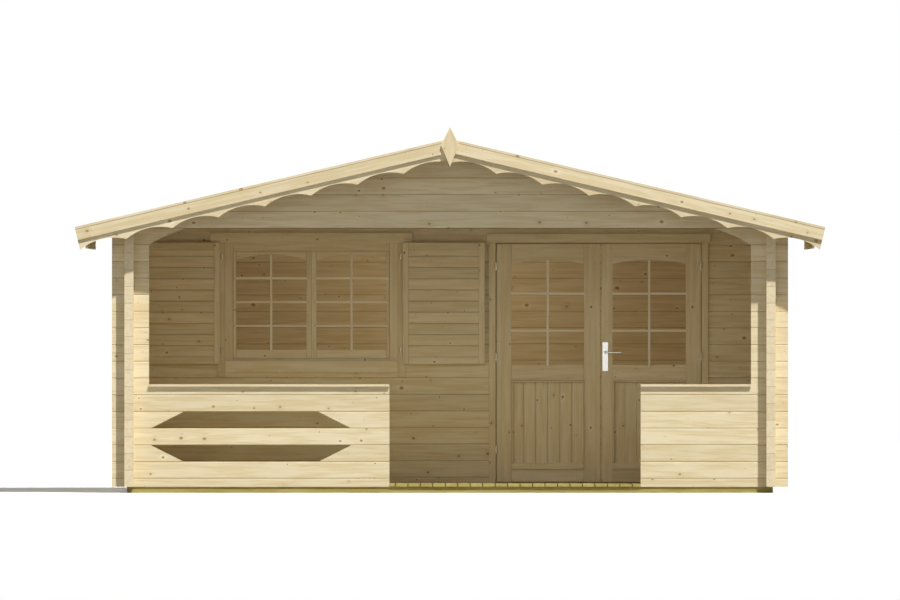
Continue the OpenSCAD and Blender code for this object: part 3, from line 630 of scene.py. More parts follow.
    def _knots(self) -> None:
        """Sets branches, one to a cell, straight through the member and round on its face."""
        tree = self.tree
        long, wide = self.wood.knot_cell_mm
        least, most = self.wood.knot_mm
        place = add_node(tree, VECTORS, {0: self.place, 1: (1 / long, 1 / wide, 0.0)},
                         operation="MULTIPLY")
        cells = add_node(tree, "ShaderNodeTexVoronoi", {
            "Vector": place, "Scale": 1.0, "Randomness": 0.9}, voronoi_dimensions="2D").outputs
        centre = add_node(tree, VECTORS, {0: cells["Position"], 1: (long, wide, 0.0)},
                          operation="MULTIPLY")
        offset = add_node(tree, VECTORS, {0: self.place, 1: centre}, operation="SUBTRACT")
        offset = add_node(tree, VECTORS, {0: offset, 1: self.OVAL}, operation="MULTIPLY")
        away = add_node(tree, VECTORS, {0: offset}, operation="LENGTH").outputs["Value"]
        away = add_node(tree, MATHS, {0: self.fibre, 1: self.FRAY, 2: away},
                        operation="MULTIPLY_ADD")
        chance = add_node(tree, "ShaderNodeSeparateColor", {0: cells["Color"]}).outputs
        there = add_node(tree, MATHS, {0: chance[0], 1: self.wood.knots},
                         operation="LESS_THAN")
        face = add_node(tree, MATHS, {0: 1.0, 1: self.end}, operation="SUBTRACT")
        there = add_node(tree, MATHS, {0: there, 1: face}, operation="MULTIPLY")
        size = add_node(tree, MATHS, {0: chance[1], 1: self.SKEW}, operation="POWER")
        size = add_node(tree, MATHS, {0: size, 1: most - least, 2: least},
                        operation="MULTIPLY_ADD")
        inner, outer = (add_node(tree, MATHS, {0: size, 1: share}, operation="MULTIPLY")
                        for share in (self.INNER, self.HALO))
        edge = add_node(tree, MATHS, {0: away, 1: size}, operation="SUBTRACT")
        edge = add_node(tree, MATHS, {0: edge}, operation="ABSOLUTE")
        dark = add_node(tree, MATHS, {0: there, 1: chance[2]}, operation="MULTIPLY")
        masks = []
        for value, low, high, strength in ((away, inner, size, there),
                                           (edge, *self.RIM, dark),
                                           (away, size, outer, there)):
            mask = add_node(tree, "ShaderNodeMapRange", {
                "Value": value, "From Min": low, "From Max": high, "To Min": 1.0,
                "To Max": 0.0}, interpolation_type="SMOOTHSTEP")
            masks.append(add_node(tree, MATHS, {0: mask, 1: strength}, operation="MULTIPLY"))
        self.core, self.rim, self.halo = masks
        swirl = add_node(tree, MATHS, {0: chance[2], 1: self.EVEN}, operation="SUBTRACT")
        self.swirl = add_node(tree, MATHS, {0: self.halo, 1: swirl}, operation="MULTIPLY")

    def _rings(self) -> Any:
        """Draws growth rings, bent round the branches and round a pith on the ends.

        Returns:
            How much summer wood shows, from 0 to about 1.
        """
        tree, wood = self.tree, self.wood
        _, across, through = add_node(tree, "ShaderNodeSeparateXYZ", {0: self.place}).outputs
        flat = add_node(tree, MATHS, {0: through, 1: self.LEAN, 2: across},
                        operation="MULTIPLY_ADD")
        flat = add_node(tree, MATHS, {0: flat, 1: wood.ring_mm}, operation="DIVIDE")
        wobble = self._stretched(wood.wobble_mm, 2.0)
        flat = add_node(tree, MATHS, {0: wobble, 1: self.WANDER, 2: flat},
                        operation="MULTIPLY_ADD")
        flat = add_node(tree, MATHS, {0: self.halo, 1: self.BEND, 2: flat},
                        operation="MULTIPLY_ADD")
        # the pith lies off the middle of the member
        deep = add_node(tree, MATHS, {0: through, 1: wood.pith_mm}, operation="ADD")
        pith = add_node(tree, "ShaderNodeCombineXYZ", {0: across, 1: deep})
        radius = add_node(tree, VECTORS, {0: pith}, operation="LENGTH").outputs["Value"]
        round_pith = add_node(tree, MATHS, {0: radius, 1: wood.end_ring_mm},
                              operation="DIVIDE")
        phase = add_node(tree, "ShaderNodeMix", {0: self.end, 2: flat, 3: round_pith},
                         data_type="FLOAT")
        wave = add_node(tree, MATHS, {0: phase, 1: math.tau}, operation="MULTIPLY")
        wave = add_node(tree, MATHS, {0: wave}, operation="SINE")
        wave = add_node(tree, MATHS, {0: wave, 1: 0.5, 2: 0.5}, operation="MULTIPLY_ADD")
        ring = add_node(tree, MATHS, {0: wave, 1: 2.0}, operation="POWER")
        for mask, share, rest in ((self.fibre, 0.8, 0.3), (self.end, self.END_RINGS, 1.0)):
            part = add_node(tree, MATHS, {0: mask, 1: share, 2: rest},
                            operation="MULTIPLY_ADD")
            ring = add_node(tree, MATHS, {0: ring, 1: part}, operation="MULTIPLY")
        return ring

    def _colour(self, ring: Any) -> Any:
        """Mixes spring wood, summer wood, heartwood, the member's tone and its knots.

        Args:
            ring: How much summer wood shows.

        Returns:
            The colour.
        """
        tree, wood = self.tree, self.wood
        summer = add_node(tree, MATHS, {0: ring, 1: self.SUMMER}, operation="MULTIPLY")
        low, high = self.FLAME
        flame = add_node(tree, "ShaderNodeMapRange", {
            "Value": self._stretched(wood.flame_mm, 3.0), "From Min": low, "From Max": high,
            "To Min": 1.0, "To Max": 0.0}, interpolation_type="SMOOTHSTEP")
        sap = add_node(tree, MATHS, {0: 1.0, 1: flame}, operation="SUBTRACT")
        sap = add_node(tree, MATHS, {0: self.end, 1: self.END_SAP, 2: sap},
                       operation="MULTIPLY_ADD")
        sap = add_node(tree, MATHS, {0: sap, 1: 0.0}, operation="MAXIMUM")
        level = 1 - wood.tone_spread
        for mask, share in ((self.tone, 2 * wood.tone_spread), (self.end, self.END_LEVEL),
                            (self.swirl, self.SWIRL)):
            level = add_node(tree, MATHS, {0: mask, 1: share, 2: level},
                             operation="MULTIPLY_ADD")
        green, blue = (add_node(tree, MATHS, {0: level, 1: power}, operation="POWER")
                       for power in self.WARMER)
        shade = add_node(tree, "ShaderNodeCombineColor", {0: level, 1: green, 2: blue})
        core, rim = (add_node(tree, MATHS, {0: mask, 1: share}, operation="MULTIPLY")
                     for mask, share in ((self.core, self.CORE), (self.rim, self.BARK)))
        colour = linear(wood.early)
        for share, below, above, how in ((summer, None, linear(wood.late), "MIX"),
                                         (sap, linear(wood.heart), None, "MIX"),
                                         (1.0, None, shade, "MULTIPLY"),
                                         (core, None, linear(wood.knot), "MIX"),
                                         (rim, None, linear(wood.bark), "MIX")):
            colour = add_node(tree, "ShaderNodeMix", {
                0: share, 6: below or colour, 7: above or colour},
                data_type="RGBA", blend_type=how).outputs[2]
        return colour

    def _joints(self, colour: Any) -> Any:
        """Darkens the fine open joint between two courses.

        Args:
            colour: The colour so far.

        Returns:
            The colour with its joints.
        """
        tree, wood = self.tree, self.wood
        across = add_node(tree, "ShaderNodeSeparateXYZ", {0: self.place}).outputs[1]
        away = add_node(tree, MATHS, {0: across}, operation="ABSOLUTE")
        near = add_node(tree, "ShaderNodeMapRange", {
            "Value": away, "From Min": wood.plank_mm / 2 - wood.joint_mm,
            "From Max": wood.plank_mm / 2 - wood.joint_core_mm,
            "To Min": 0.0, "To Max": wood.joint_dark})
        return add_node(tree, "ShaderNodeMix", {0: near, 6: colour, 7: linear(wood.gap)},
                        data_type="RGBA").outputs[2]

    def _worn_edges(self, colour: Any) -> Any:
        """Paints shade on the eased edges, in the colour of the open joints, so that each
        member's outline shows.

        Args:
            colour: The colour so far.

        Returns:
            The colour with the painted shade on its edges.
        """
        edge = add_node(self.tree, "ShaderNodeAttribute", attribute_name="edge")
        share = add_node(self.tree, MATHS, {0: edge.outputs["Fac"], 1: self.wood.edge_dark},
                         operation="MULTIPLY")
        return add_node(self.tree, "ShaderNodeMix", {
            0: share, 6: colour, 7: linear(self.wood.gap)}, data_type="RGBA").outputs[2]


@dataclass(frozen=True)
class FloatGlass:
    """Clear float glass: mirror-smooth and faintly warm, as thin panes are before bare wood.

    Its IOR is lower than the usual 1.52, because the panes hardly mirror the sky.
    """

    name: str = "float glass"
    tint: str = "#f5efdf"
    ior: float = 1.15

    def material(self) -> Material:
        """Builds the material; light passes it straight, so that the room isn't black.

        Returns:
            The material.
        """
        material, tree = blank_material(self.name)
        glass = add_node(tree, "ShaderNodeBsdfPrincipled", {
            "Base Color": linear(self.tint), "Roughness": 0.01, "IOR": self.ior,
            "Transmission Weight": 1.0})
        clear = add_node(tree, "ShaderNodeBsdfTransparent", {"Color": linear(self.tint)})
        rays = add_node(tree, "ShaderNodeLightPath").outputs
        passing = add_node(tree, MATHS, {0: rays["Is Shadow Ray"], 1: rays["Is Diffuse Ray"]},
                           operation="MAXIMUM")
        mixed = add_node(tree, "ShaderNodeMixShader", {0: passing, 1: glass, 2: clear})
        add_node(tree, "ShaderNodeOutputMaterial", {"Surface": mixed})
        return material


@dataclass(frozen=True)
class Metal:
    """Bare or plated metal, with fine scratches that spread its highlight."""

    name: str
    colour: str
    roughness: float
    scratch_mm: float
    rough_spread: float = 0.2
    relief_mm: float = 0.05

    def material(self) -> Material:
        """Builds the material.

        Returns:
            The material.
        """
        material, tree = blank_material(self.name)
        source = add_node(tree, "ShaderNodeTexCoord")
        noise = add_node(tree, "ShaderNodeTexNoise", {
            "Vector": source.outputs["Object"], "Scale": 1 / (self.scratch_mm * MM),
            "Detail": 3.0}).outputs["Fac"]
        rough = add_node(tree, MATHS, {
            0: noise, 1: self.rough_spread, 2: self.roughness - self.rough_spread / 2},
            operation="MULTIPLY_ADD")
        bump = add_node(tree, "ShaderNodeBump", {
            "Height": noise, "Strength": 0.1, "Distance": self.relief_mm * MM})
        shader = add_node(tree, "ShaderNodeBsdfPrincipled", {
            "Base Color": linear(self.colour), "Metallic": 1.0, "Roughness": rough,
            "Normal": bump})
        add_node(tree, "ShaderNodeOutputMaterial", {"Surface": shader})
        return material


@dataclass
class Finishes:
    """The finishes of the cabin, each built once when it is first asked for."""

    made: dict[str, Material] = field(default_factory=dict)

    # sRGB colours: spring wood, summer wood, heartwood and knots
    SPRUCE = ("#ebd9b0", "#dabe88", "#f2e3bf", "#ab7b3f")
    JOINERY = ("#f1dfb6", "#dcbf89", "#f6e6c2", "#9a6b40")
    # the glazing bars' colours are painted paler, for the light that their fronts catch
    BARS = ("#fdeecb", "#f2d9a4", "#fff5dc", "#b5895c")
    SAWN = ("#cbb589", "#b79c68", "#d4c096", "#8a6238")
    TREATED = ("#b3a156", "#98863f", "#bfae66", "#6b5428")

    def build(self, finish: PlanedWood | FloatGlass | Metal) -> Material:
        """Builds the material of a finish, unless it is there already.

        Args:
            finish: The finish.

        Returns:
            Its material.
        """
        if finish.name not in self.made:
            self.made[finish.name] = finish.material()
        return self.made[finish.name]

    def logs(self, grain: Grain, first: float, middle: float) -> Material:
        """Planed spruce logs, yellowish with a warm heart: one tone and one joint a course.

        Args:
            grain: Which way the logs run.
            first: Height of a joint between two courses, in mm.
            middle: Middle of the wall on the Y axis, in mm.

        Returns:
            The material.
        """
        name = f"planed spruce logs {grain.value} {middle:.0f}"
        return self.build(PlanedWood(name, *self.SPRUCE, grain=grain, plank_axis=Axis.Z,
                                     plank_mm=Walls.course, plank_first=first,
                                     depth_mm=middle, joint_mm=4.0))

    def boards(self, grain: Grain, **changes: Any) -> Material:
        """Planed spruce boards: the logs' colour with finer rings, patterned by their place.

        Args:
            grain: Which way the boards run.
            **changes: What else sets them off from other boards.

        Returns:
            The material.
        """
        name = "planed spruce boards " + grain.value + "".join(
            f" {k} {v.name if isinstance(v, Enum) else v}" for k, v in changes.items())
        return self.build(PlanedWood(name, *self.SPRUCE, grain=grain, ring_mm=7.0,
                                     knot_cell_mm=(190.0, 80.0), **changes))

    def _fine(self, name: str, **changes: Any) -> Material:
        """Paler spruce of joinery grade, with small knots.

        Args:
            name: The finish's name.
            **changes: What sets it off from the other.

        Returns:
            The material.
        """
        return self.build(PlanedWood(name, *self.JOINERY, ring_mm=9.0,
                                     knot_cell_mm=(230.0, 60.0), knots=0.5,
                                     knot_mm=(2.0, 8.0), tone_spread=0.06, **changes))

    def joinery(self) -> Material:
        """Planed spruce members, with shade painted on their eased edges to draw their outline.
        """
        return self._fine("planed spruce joinery", edge_dark=0.36)

    def panel(self) -> Material:
        """The narrow boards of the shutters' panels, with the open joints between them."""
        return self._fine("planed spruce panel boards", plank_mm=Shutters.board,
                          joint_mm=3.5, joint_dark=0.25)

    def sawn(self) -> Material:
        """Fine-sawn spruce roof boards, duller than the planed wood."""
        # strong shade painted on any eased edges
        return self.build(PlanedWood("fine-sawn spruce roof boards", *self.SAWN, ring_mm=9.0,
                                     knot_cell_mm=(300.0, 70.0), tone_spread=0.09,
                                     edge_dark=0.6, roughness=0.8))

    def bars(self) -> Material:
        """Spruce of the glazing bars, painted paler for the light that their fronts catch,
        straight in the grain and free of knots.
        """
        return self.build(PlanedWood("planed spruce glazing bars", *self.BARS, ring_mm=5.0,
                                     knots=0.0))

    def treated(self, grain: Grain = Grain.OWN, **changes: Any) -> Material:
        """Pressure-treated pine, greenish from its salts.

        Args:
            grain: Which way it runs.
            **changes: How its planks lie.

        Returns:
            The material.
        """
        return self.build(PlanedWood("pressure-treated pine " + grain.value, *self.TREATED,
                                     grain=grain, roughness=0.72, tone_spread=0.1,
                                     bark="#4a3a1a", **changes))

    def glass(self) -> Material:
        """Clear float glass."""
        return self.build(FloatGlass())

    def plated(self) -> Material:
        """Zinc-plated steel: grey with a soft highlight."""
        return self.build(Metal("zinc-plated steel", "#cfc6ac", 0.5, 1.5))

    def anodised(self) -> Material:
        """Satin anodised aluminium: nearly white, with a broad highlight."""
        return self.build(Metal("satin anodised aluminium", "#eeeeec", 0.34, 0.8))


# ---- Pieces that repeat -------------------------------------------------------


@dataclass
class NodeRun:
    """A Geometry Nodes tree that copies a piece along a line or onto points."""

    name: str

    def _tree(self, inputs: dict[str, tuple[str, Any]]) -> tuple[Any, Any, dict[str, Any]]:
        """Starts a tree with named inputs.

        Args:
            inputs: Type and value of each input after the geometry, by name.

        Returns:
            The tree, what its group input gives and the values by identifier.
        """
        tree = bpy.data.node_groups.new(self.name, "GeometryNodeTree")
        tree.interface.new_socket("Geometry", in_out="INPUT", socket_type="NodeSocketGeometry")
        settings = {}
        for label, (kind, value) in inputs.items():
            item = tree.interface.new_socket(label, in_out="INPUT",
                                             socket_type="NodeSocket" + kind)
            settings[item.identifier] = value
        tree.interface.new_socket("Geometry", in_out="OUTPUT", socket_type="NodeSocketGeometry")
        return tree, add_node(tree, "NodeGroupInput").outputs, settings

    def _apply(self, mesh: Mesh, tree: Tree, copies: Any,
               finish: Any, settings: dict[str, Any]) -> Piece:
        """Ends a tree in plain geometry with its finish, and keeps the result.

        Args:
            mesh: The mesh that the tree starts from.
            tree: The tree.
            copies: The instances that it has made.
            finish: The finish that its group input gives.
            settings: The value of each named input, by identifier.

        Returns:
            One object with a plain mesh.
        """
        real = add_node(tree, "GeometryNodeRealizeInstances", {0: copies})
        done = add_node(tree, "GeometryNodeSetMaterial", {"Geometry": real.outputs[0],
                                                          "Material": finish})
        add_node(tree, "NodeGroupOutput", {0: done.outputs[0]})
        host = link_object(self.name, mesh)
        modifier = host.modifiers.new(self.name, "NODES")
        modifier.node_group = tree
        for key, value in settings.items():
            modifier[key] = value
        graph = bpy.context.evaluated_depsgraph_get()
        result = bpy.data.meshes.new_from_object(host.evaluated_get(graph))
        bpy.data.objects.remove(host)
        result.name = self.name
        return link_object(self.name, result)


@dataclass
class BoardRun(NodeRun):
    """Copies of one board, side by side, each with a tone of its own."""

    count: int = 1
    step: tuple[float, float, float] = (0.0, 0.0, 0.0)
    seed: int = 3

    def lay(self, board: Mesh, material: Material) -> Piece:
        """Lays the boards.

        Args:
            board: The first board, in its place.
            material: The finish of the boards.

        Returns:
            One object with all of them.
        """
        tree, start, settings = self._tree({
            "Count": ("Int", self.count), "Step": ("Vector", tuple(v * MM for v in self.step)),
            "Seed": ("Int", self.seed), "Finish": ("Material", material)})
        line = add_node(tree, "GeometryNodeMeshLine", {
            "Count": start["Count"], "Offset": start["Step"]}, mode="OFFSET")
        copies = add_node(tree, "GeometryNodeInstanceOnPoints", {
            "Points": line.outputs[0], "Instance": start["Geometry"]})
        number = add_node(tree, "GeometryNodeInputIndex")
        tone = add_node(tree, "FunctionNodeRandomValue", {
            "ID": number.outputs[0], "Seed": start["Seed"]}, data_type="FLOAT")
        marked = add_node(tree, "GeometryNodeStoreNamedAttribute", {
            "Geometry": copies.outputs[0], "Name": "tone", "Value": tone.outputs[1]},
            data_type="FLOAT", domain="INSTANCE")
        return self._apply(board, tree, marked.outputs[0], start["Finish"], settings)


@dataclass
class ScrewSet(NodeRun):
    """Round heads of screws, pins or nails at given points, all facing one way."""

    radius: float = 4.0
    crown: float = 2.4
    rise: float = 1.2
    facing: tuple[float, float, float] = (0.0, 0.0, 1.0)

    def drive(self, places: Sequence[Vector], material: Material) -> Piece:
        """Makes a head at each place.

        Args:
            places: Points on the surface, in mm.
            material: The finish of the screws.

        Returns:
            One object with all the heads.
        """
        points = bpy.data.meshes.new(self.name)
        points.from_pydata([tuple(p * MM) for p in places], [], [])
        tree, start, settings = self._tree({
            "Radius": ("Float", self.radius * MM), "Crown": ("Float", self.crown * MM),
            "Rise": ("Float", self.rise * MM), "Facing": ("Vector", self.facing),
            "Finish": ("Material", material)})
        head = add_node(tree, "GeometryNodeMeshCone", {
            "Vertices": 8, "Radius Top": start["Crown"], "Radius Bottom": start["Radius"],
            "Depth": start["Rise"]}, fill_type="NGON")
        turn = add_node(tree, "FunctionNodeAlignRotationToVector", {
            "Vector": start["Facing"]}, axis="Z")
        copies = add_node(tree, "GeometryNodeInstanceOnPoints", {
            "Points": start["Geometry"], "Instance": head.outputs["Mesh"],
            "Rotation": turn.outputs[0]})
        return self._apply(points, tree, copies.outputs[0], start["Finish"], settings)


# ---- Sub-assemblies -----------------------------------------------------------


@dataclass
class Cabin:
    """What every sub-assembly shares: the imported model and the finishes."""

    frame: dict[str, Any]
    finishes: Finishes

    def dress(self, material: Material, *nodes: str) -> None:
        """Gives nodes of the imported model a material.

        Args:
            material: The material.
            *nodes: Names of the nodes.
        """
        for node in nodes:
            mesh = self.frame["nodes"][node].data
            mesh.materials.clear()
            mesh.materials.append(material)
            LOG.info("%s: %s", node, material.name)

    def low(self, node: str) -> Vector:
        """Lowest corner of a node, in mm."""
        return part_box(node)[0] / MM

    def high(self, node: str) -> Vector:
        """Highest corner of a node, in mm."""
        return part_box(node)[1] / MM

    def ends(self, node: str) -> tuple[Vector, Vector]:
        """Lowest and highest corner of a node, in mm."""
        return self.low(node), self.high(node)

    def eased_copy(self, node: str, body: str, marker: WoodMarker) -> Piece:
        """Copies a node's solids with eased edges and marked grain, to stand for it.

        Args:
            node: The node to copy.
            body: The body that it moves with.
            marker: How its grain runs.

        Returns:
            The new piece, eased_ and the node's name.
        """
        form = bmesh.new()
        form.from_mesh(self.frame["nodes"][node].data)
        bmesh.ops.remove_doubles(form, verts=form.verts[:], dist=TOLERANCE)
        bmesh.ops.dissolve_limit(form, angle_limit=FLAT, verts=form.verts[:],
                                 edges=form.edges[:])
        ease_edges(form, JOINERY_EASE)
        name = "eased_" + node
        piece = link_object(name, marker.mark(mesh_of(form, name)))
        return settle(piece, body, self.finishes.joinery(), [node])

    def lay(self, name: str, meshes: Iterable[Mesh], body: str, material: Material,
            slot: str = "joinery_wood", replaced: Sequence[str] = ()) -> None:
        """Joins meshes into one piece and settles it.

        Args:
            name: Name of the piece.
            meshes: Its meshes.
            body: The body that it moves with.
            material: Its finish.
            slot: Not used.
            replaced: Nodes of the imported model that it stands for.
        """
        settle(link_object(name, joined(name, meshes)), body, material, replaced)

    def screw(self, name: str, places: Sequence[Vector], body: str = "cabin",
              material: Material | None = None, **shape: Any) -> None:
        """Drives one set of screws, pins or nails.

        Args:
            name: Name of the piece.
            places: Points on the surface, in mm.
            body: The body that it moves with.
            material: Its finish, if it isn't plated steel.
            **shape: What a ScrewSet needs besides.
        """
        finish = material or self.finishes.plated()
        heads = ScrewSet(name, **shape).drive(places, finish)
        settle(heads, body, finish)


@dataclass
class Walls(Cabin):
    """The log walls, corner posts, brackets and balustrades."""

    course: float = 123.5
    screw_step: float = 450.0
    screw_margin: float = 60.0
    cap_length: float = 2000.0

    def make(self) -> None:
        """Dresses every wall of logs and the cap rails."""
        base = self.low("left_side_wall").z
        for node in ("rear_wall", "veranda_gable", "front_wall_sill", "front_wall_left_pier",
                     "front_wall_middle_pier", "front_wall_right_pier", "front_wall_gable",
                     "corner_posts", "corner_brackets", "left_balustrade_logs",
                     "left_balustrade_blocks", "right_balustrade"):
            low, high = self.ends(node)
            middle = (low.y + high.y) / 2
            self.dress(self.finishes.logs(Grain.ACROSS, base + self.course / 2, middle), node)
        for node in ("left_side_wall", "right_side_wall"):
            self.dress(self.finishes.logs(Grain.BACKWARDS, base, 0.0), node)
        self.dress(self.finishes.boards(Grain.ACROSS, plank_axis=Axis.X,
                                        plank_mm=self.cap_length), "cap_rails")
        self._cap_screws()

    def _cap_screws(self) -> None:
        """Screws the cap rails down, in even steps."""
        low, high = self.ends("cap_rails")
        left_end = self.high("left_balustrade_logs").x
        right_end = self.low("right_balustrade").x
        middle = (low.y + high.y) / 2
        places = []
        for start, stop in ((low.x, left_end), (right_end, high.x)):
            steps = max(2, round((stop - start) / self.screw_step))
            for i in range(steps + 1):
                x = start + self.screw_margin
                x += (stop - start - 2 * self.screw_margin) * i / steps
                places.append(Vector((x, middle, high.z + HEAD_OFF)))
        self.screw("cap_rail_screws", places)


@dataclass
class Ground(Cabin):
    """The bearers, the veranda deck and the room's floor."""

    board: float = 86.25
    gap: float = 6.0
    floor_board: float = 96.0
    chamfer: float = 2.0
    # how far a board stays off a balustrade
    clearance: float = 0.5
    # the narrowest tongue of a board that still runs out to the front edge
    least_tongue: float = 8.0
    screw_inset: float = 20.0
    bearer_inset: float = 20.0
    bearer_step: float = 250.0

    def make(self) -> None:
        """Dresses the bearers and lays both floors."""
        self.dress(self.finishes.treated(Grain.ACROSS, plank_axis=Axis.Y,
                                         plank_mm=self.bearer_step), "bearers")
        self._deck()
        self._floor()

    def _deck(self) -> None:
        """Lays the veranda deck; the boards in the entrance run out to its front edge."""
        low, high = self.ends("veranda_deck")
        inner = self.high("right_balustrade").y + self.clearance
        pitch = self.board + self.gap
        finish = self.finishes.treated()
        meshes, screws = [], []
        for i in range(math.ceil((high.x - low.x) / pitch)):
            x0 = low.x + i * pitch
            x1 = min(x0 + self.board, high.x)
            outline = self._deck_outline(x0, x1, low.y, inner, high.y)
            meshes.append(prism(outline, Axis.Z, low.z, high.z, self.chamfer))
            screws += [Vector((x, y, high.z + HEAD_OFF))
                       for y in self._bearer_lines(inner, high.y)
                       for x in (x0 + self.screw_inset, x1 - self.screw_inset)]
        marker = WoodMarker(Grain.BACKWARDS, seed=5)
        self.lay("deck_boards", [marker.mark(joined("deck_boards", meshes))], "cabin", finish,
                 "treated_wood", ["veranda_deck"])
        self.screw("deck_screws", screws)

    def _deck_outline(self, x0: float, x1: float, nose: float, inner: float,
                      back: float) -> list[Point2]:
        """Outline of one deck board, notched where a balustrade stands on its way.

        Args:
            x0: Its left edge.
            x1: Its right edge.
            nose: Front edge of the deck in the entrance.
            inner: Front edge of the deck behind the balustrades.
            back: Rear edge of the deck.

        Returns:
            The outline in X and Y.
        """
        a = max(x0, self.high("left_balustrade_logs").x + self.clearance)
        b = min(x1, self.low("right_balustrade").x - self.clearance)
        if b - a < self.least_tongue:
            return [(x0, inner), (x1, inner), (x1, back), (x0, back)]
        points = [(x0, inner), (a, inner)] if a > x0 else []
        points += [(a, nose), (b, nose)]
        points += [(b, inner), (x1, inner)] if b < x1 else []
        return points + [(x1, back), (x0, back)]

    def _bearer_lines(self, front: float, back: float) -> list[float]:
        """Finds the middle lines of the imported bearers.

        Args:
            front: Front edge of the boards.
            back: Their rear edge.

        Returns:
            The lines that lie well between the two.
        """
        mesh = self.frame["nodes"]["bearers"].data
        edges = sorted({round(v.co.y / MM, 1) for v in mesh.vertices})
        middles = [(a + b) / 2 for a, b in zip(edges[::2], edges[1::2])]
        return [y for y in middles if front + self.bearer_inset < y < back - self.bearer_inset]

    def _floor(self) -> None:
        """Lays the tongued and grooved floor of the room."""
        low, high = self.ends("room_floor")
        count = math.floor((high.x - low.x) / self.floor_board)
        width = (high.x - low.x) / count
        c = self.chamfer
        board = prism([(low.x, low.z), (low.x + width, low.z), (low.x + width, high.z - c),
                       (low.x + width - c, high.z), (low.x + c, high.z), (low.x, high.z - c)],
                      Axis.Y, low.y, high.y)
        WoodMarker(Grain.BACKWARDS, with_tone=False).mark(board)
        floor = BoardRun("floor_boards", count=count, step=(width, 0, 0)).lay(
            board, self.finishes.joinery())
        settle(floor, "cabin", self.finishes.joinery(), ["room_floor"])


@dataclass
class Roof(Cabin):
    """The roof boards, purlins and all the trim of the roof."""

    board: float = 90.0
    thick: float = 18.5
    chamfer: float = 4.0
    arris: float = 1.0
    # how far the boards stay off the ridge line
    inner: float = 0.1
    # where the purlins and side walls cross the slope, and the inset of the end nails
    crossings: tuple[float, ...] = (790.0, 1582.0, 2373.0)
    nail_inset: float = 30.0
    nail_off: float = 0.1
    barge_ends: Point2 = (120.0, 2640.0)
    barge_drops: Point2 = (30.0, 72.0)

    def make(self) -> None:
        """Dresses the trim and lays the boards."""
        # the joint between barge board and verge strip, square to the slope; its strong dark line
        # is partly the open joint and partly the verge strip's shadow, painted
        top = self.high("right_roof_deck").z - self.inner * math.tan(PITCH)
        self.dress(self.finishes.boards(Grain.SLOPE, plank_mm=200.0,
                                        plank_first=top * math.cos(PITCH), joint_mm=5.0,
                                        joint_dark=0.5), "barge_boards", "verge_strips")
        self.dress(self.finishes.boards(Grain.SLOPE, tone_spread=0.1), "scalloped_boards")
        self.dress(self.finishes.boards(Grain.BACKWARDS, plank_axis=Axis.X, plank_mm=700.0),
                   "purlins", "eave_fascias")
        self.dress(self.finishes.boards(Grain.UPRIGHT), "ridge_finial")
        self._boards("left_roof_deck", -1)
        self._boards("right_roof_deck", 1)
        self._trim_screws()

    def _boards(self, node: str, side: int) -> None:
        """Lays one side of the roof with boards that run from ridge to eave.

        Args:
            node: The roof deck that they stand for.
            side: -1 on the left, 1 on the right.
        """
        low, high = self.ends(node)
        count = round((high.y - low.y) / self.board)
        width = (high.y - low.y) / count
        ridge = high.z - self.thick / math.cos(PITCH)
        outer = max(abs(low.x), abs(high.x))
        c, a = self.chamfer, self.arris
        # section across the board: Y and height above its lower face
        section = [(low.y + c, 0.0), (low.y + width - c, 0.0), (low.y + width, c),
                   (low.y + width, self.thick - a), (low.y + width - a, self.thick),
                   (low.y + a, self.thick), (low.y, self.thick - a), (low.y, c)]
        ends = [[Vector((side * x, y, ridge - (x - self.inner) * math.tan(PITCH)
                         + h / math.cos(PITCH))) for y, h in section]
                for x in (self.inner, outer)]
        mesh = spanned(ends, node)
        WoodMarker(Grain.ACROSS, with_tone=False, slope=side * PITCH).mark(mesh)
        name = node.replace("deck", "boards")
        boards = BoardRun(name, count=count, step=(0, width, 0), seed=11 + side).lay(
            mesh, self.finishes.sawn())
        settle(boards, "cabin", self.finishes.sawn(), [node])
        middles = [low.y + width * (i + 0.5) for i in range(count)]
        lines = [x for x in (self.nail_inset, *self.crossings, outer - self.nail_inset)
                 if x < outer]
        # two nails to a crossing
        places = [Vector((side * x, y + offset, high.z - x * math.tan(PITCH) + self.nail_off))
                  for x in lines for y in middles for offset in (-width / 4, width / 4)]
        self.screw(name + "_nails", places, radius=3.5, rise=0.8,
                   facing=(side * math.sin(PITCH), 0.0, math.cos(PITCH)))

    def _trim_screws(self) -> None:
        """Screws through the front barge boards, into the ends of the purlins."""
        face = self.low("barge_boards").y - HEAD_OFF
        apex = self.high("right_roof_deck").z
        first, last = self.barge_ends
        places = [Vector((side * x, face, apex - x * math.tan(PITCH) - drop))
                  for x in (first, *self.crossings, last) for side in (-1, 1)
                  for drop in self.barge_drops]
        self.screw("barge_screws", places, facing=(0.0, -1.0, 0.0))


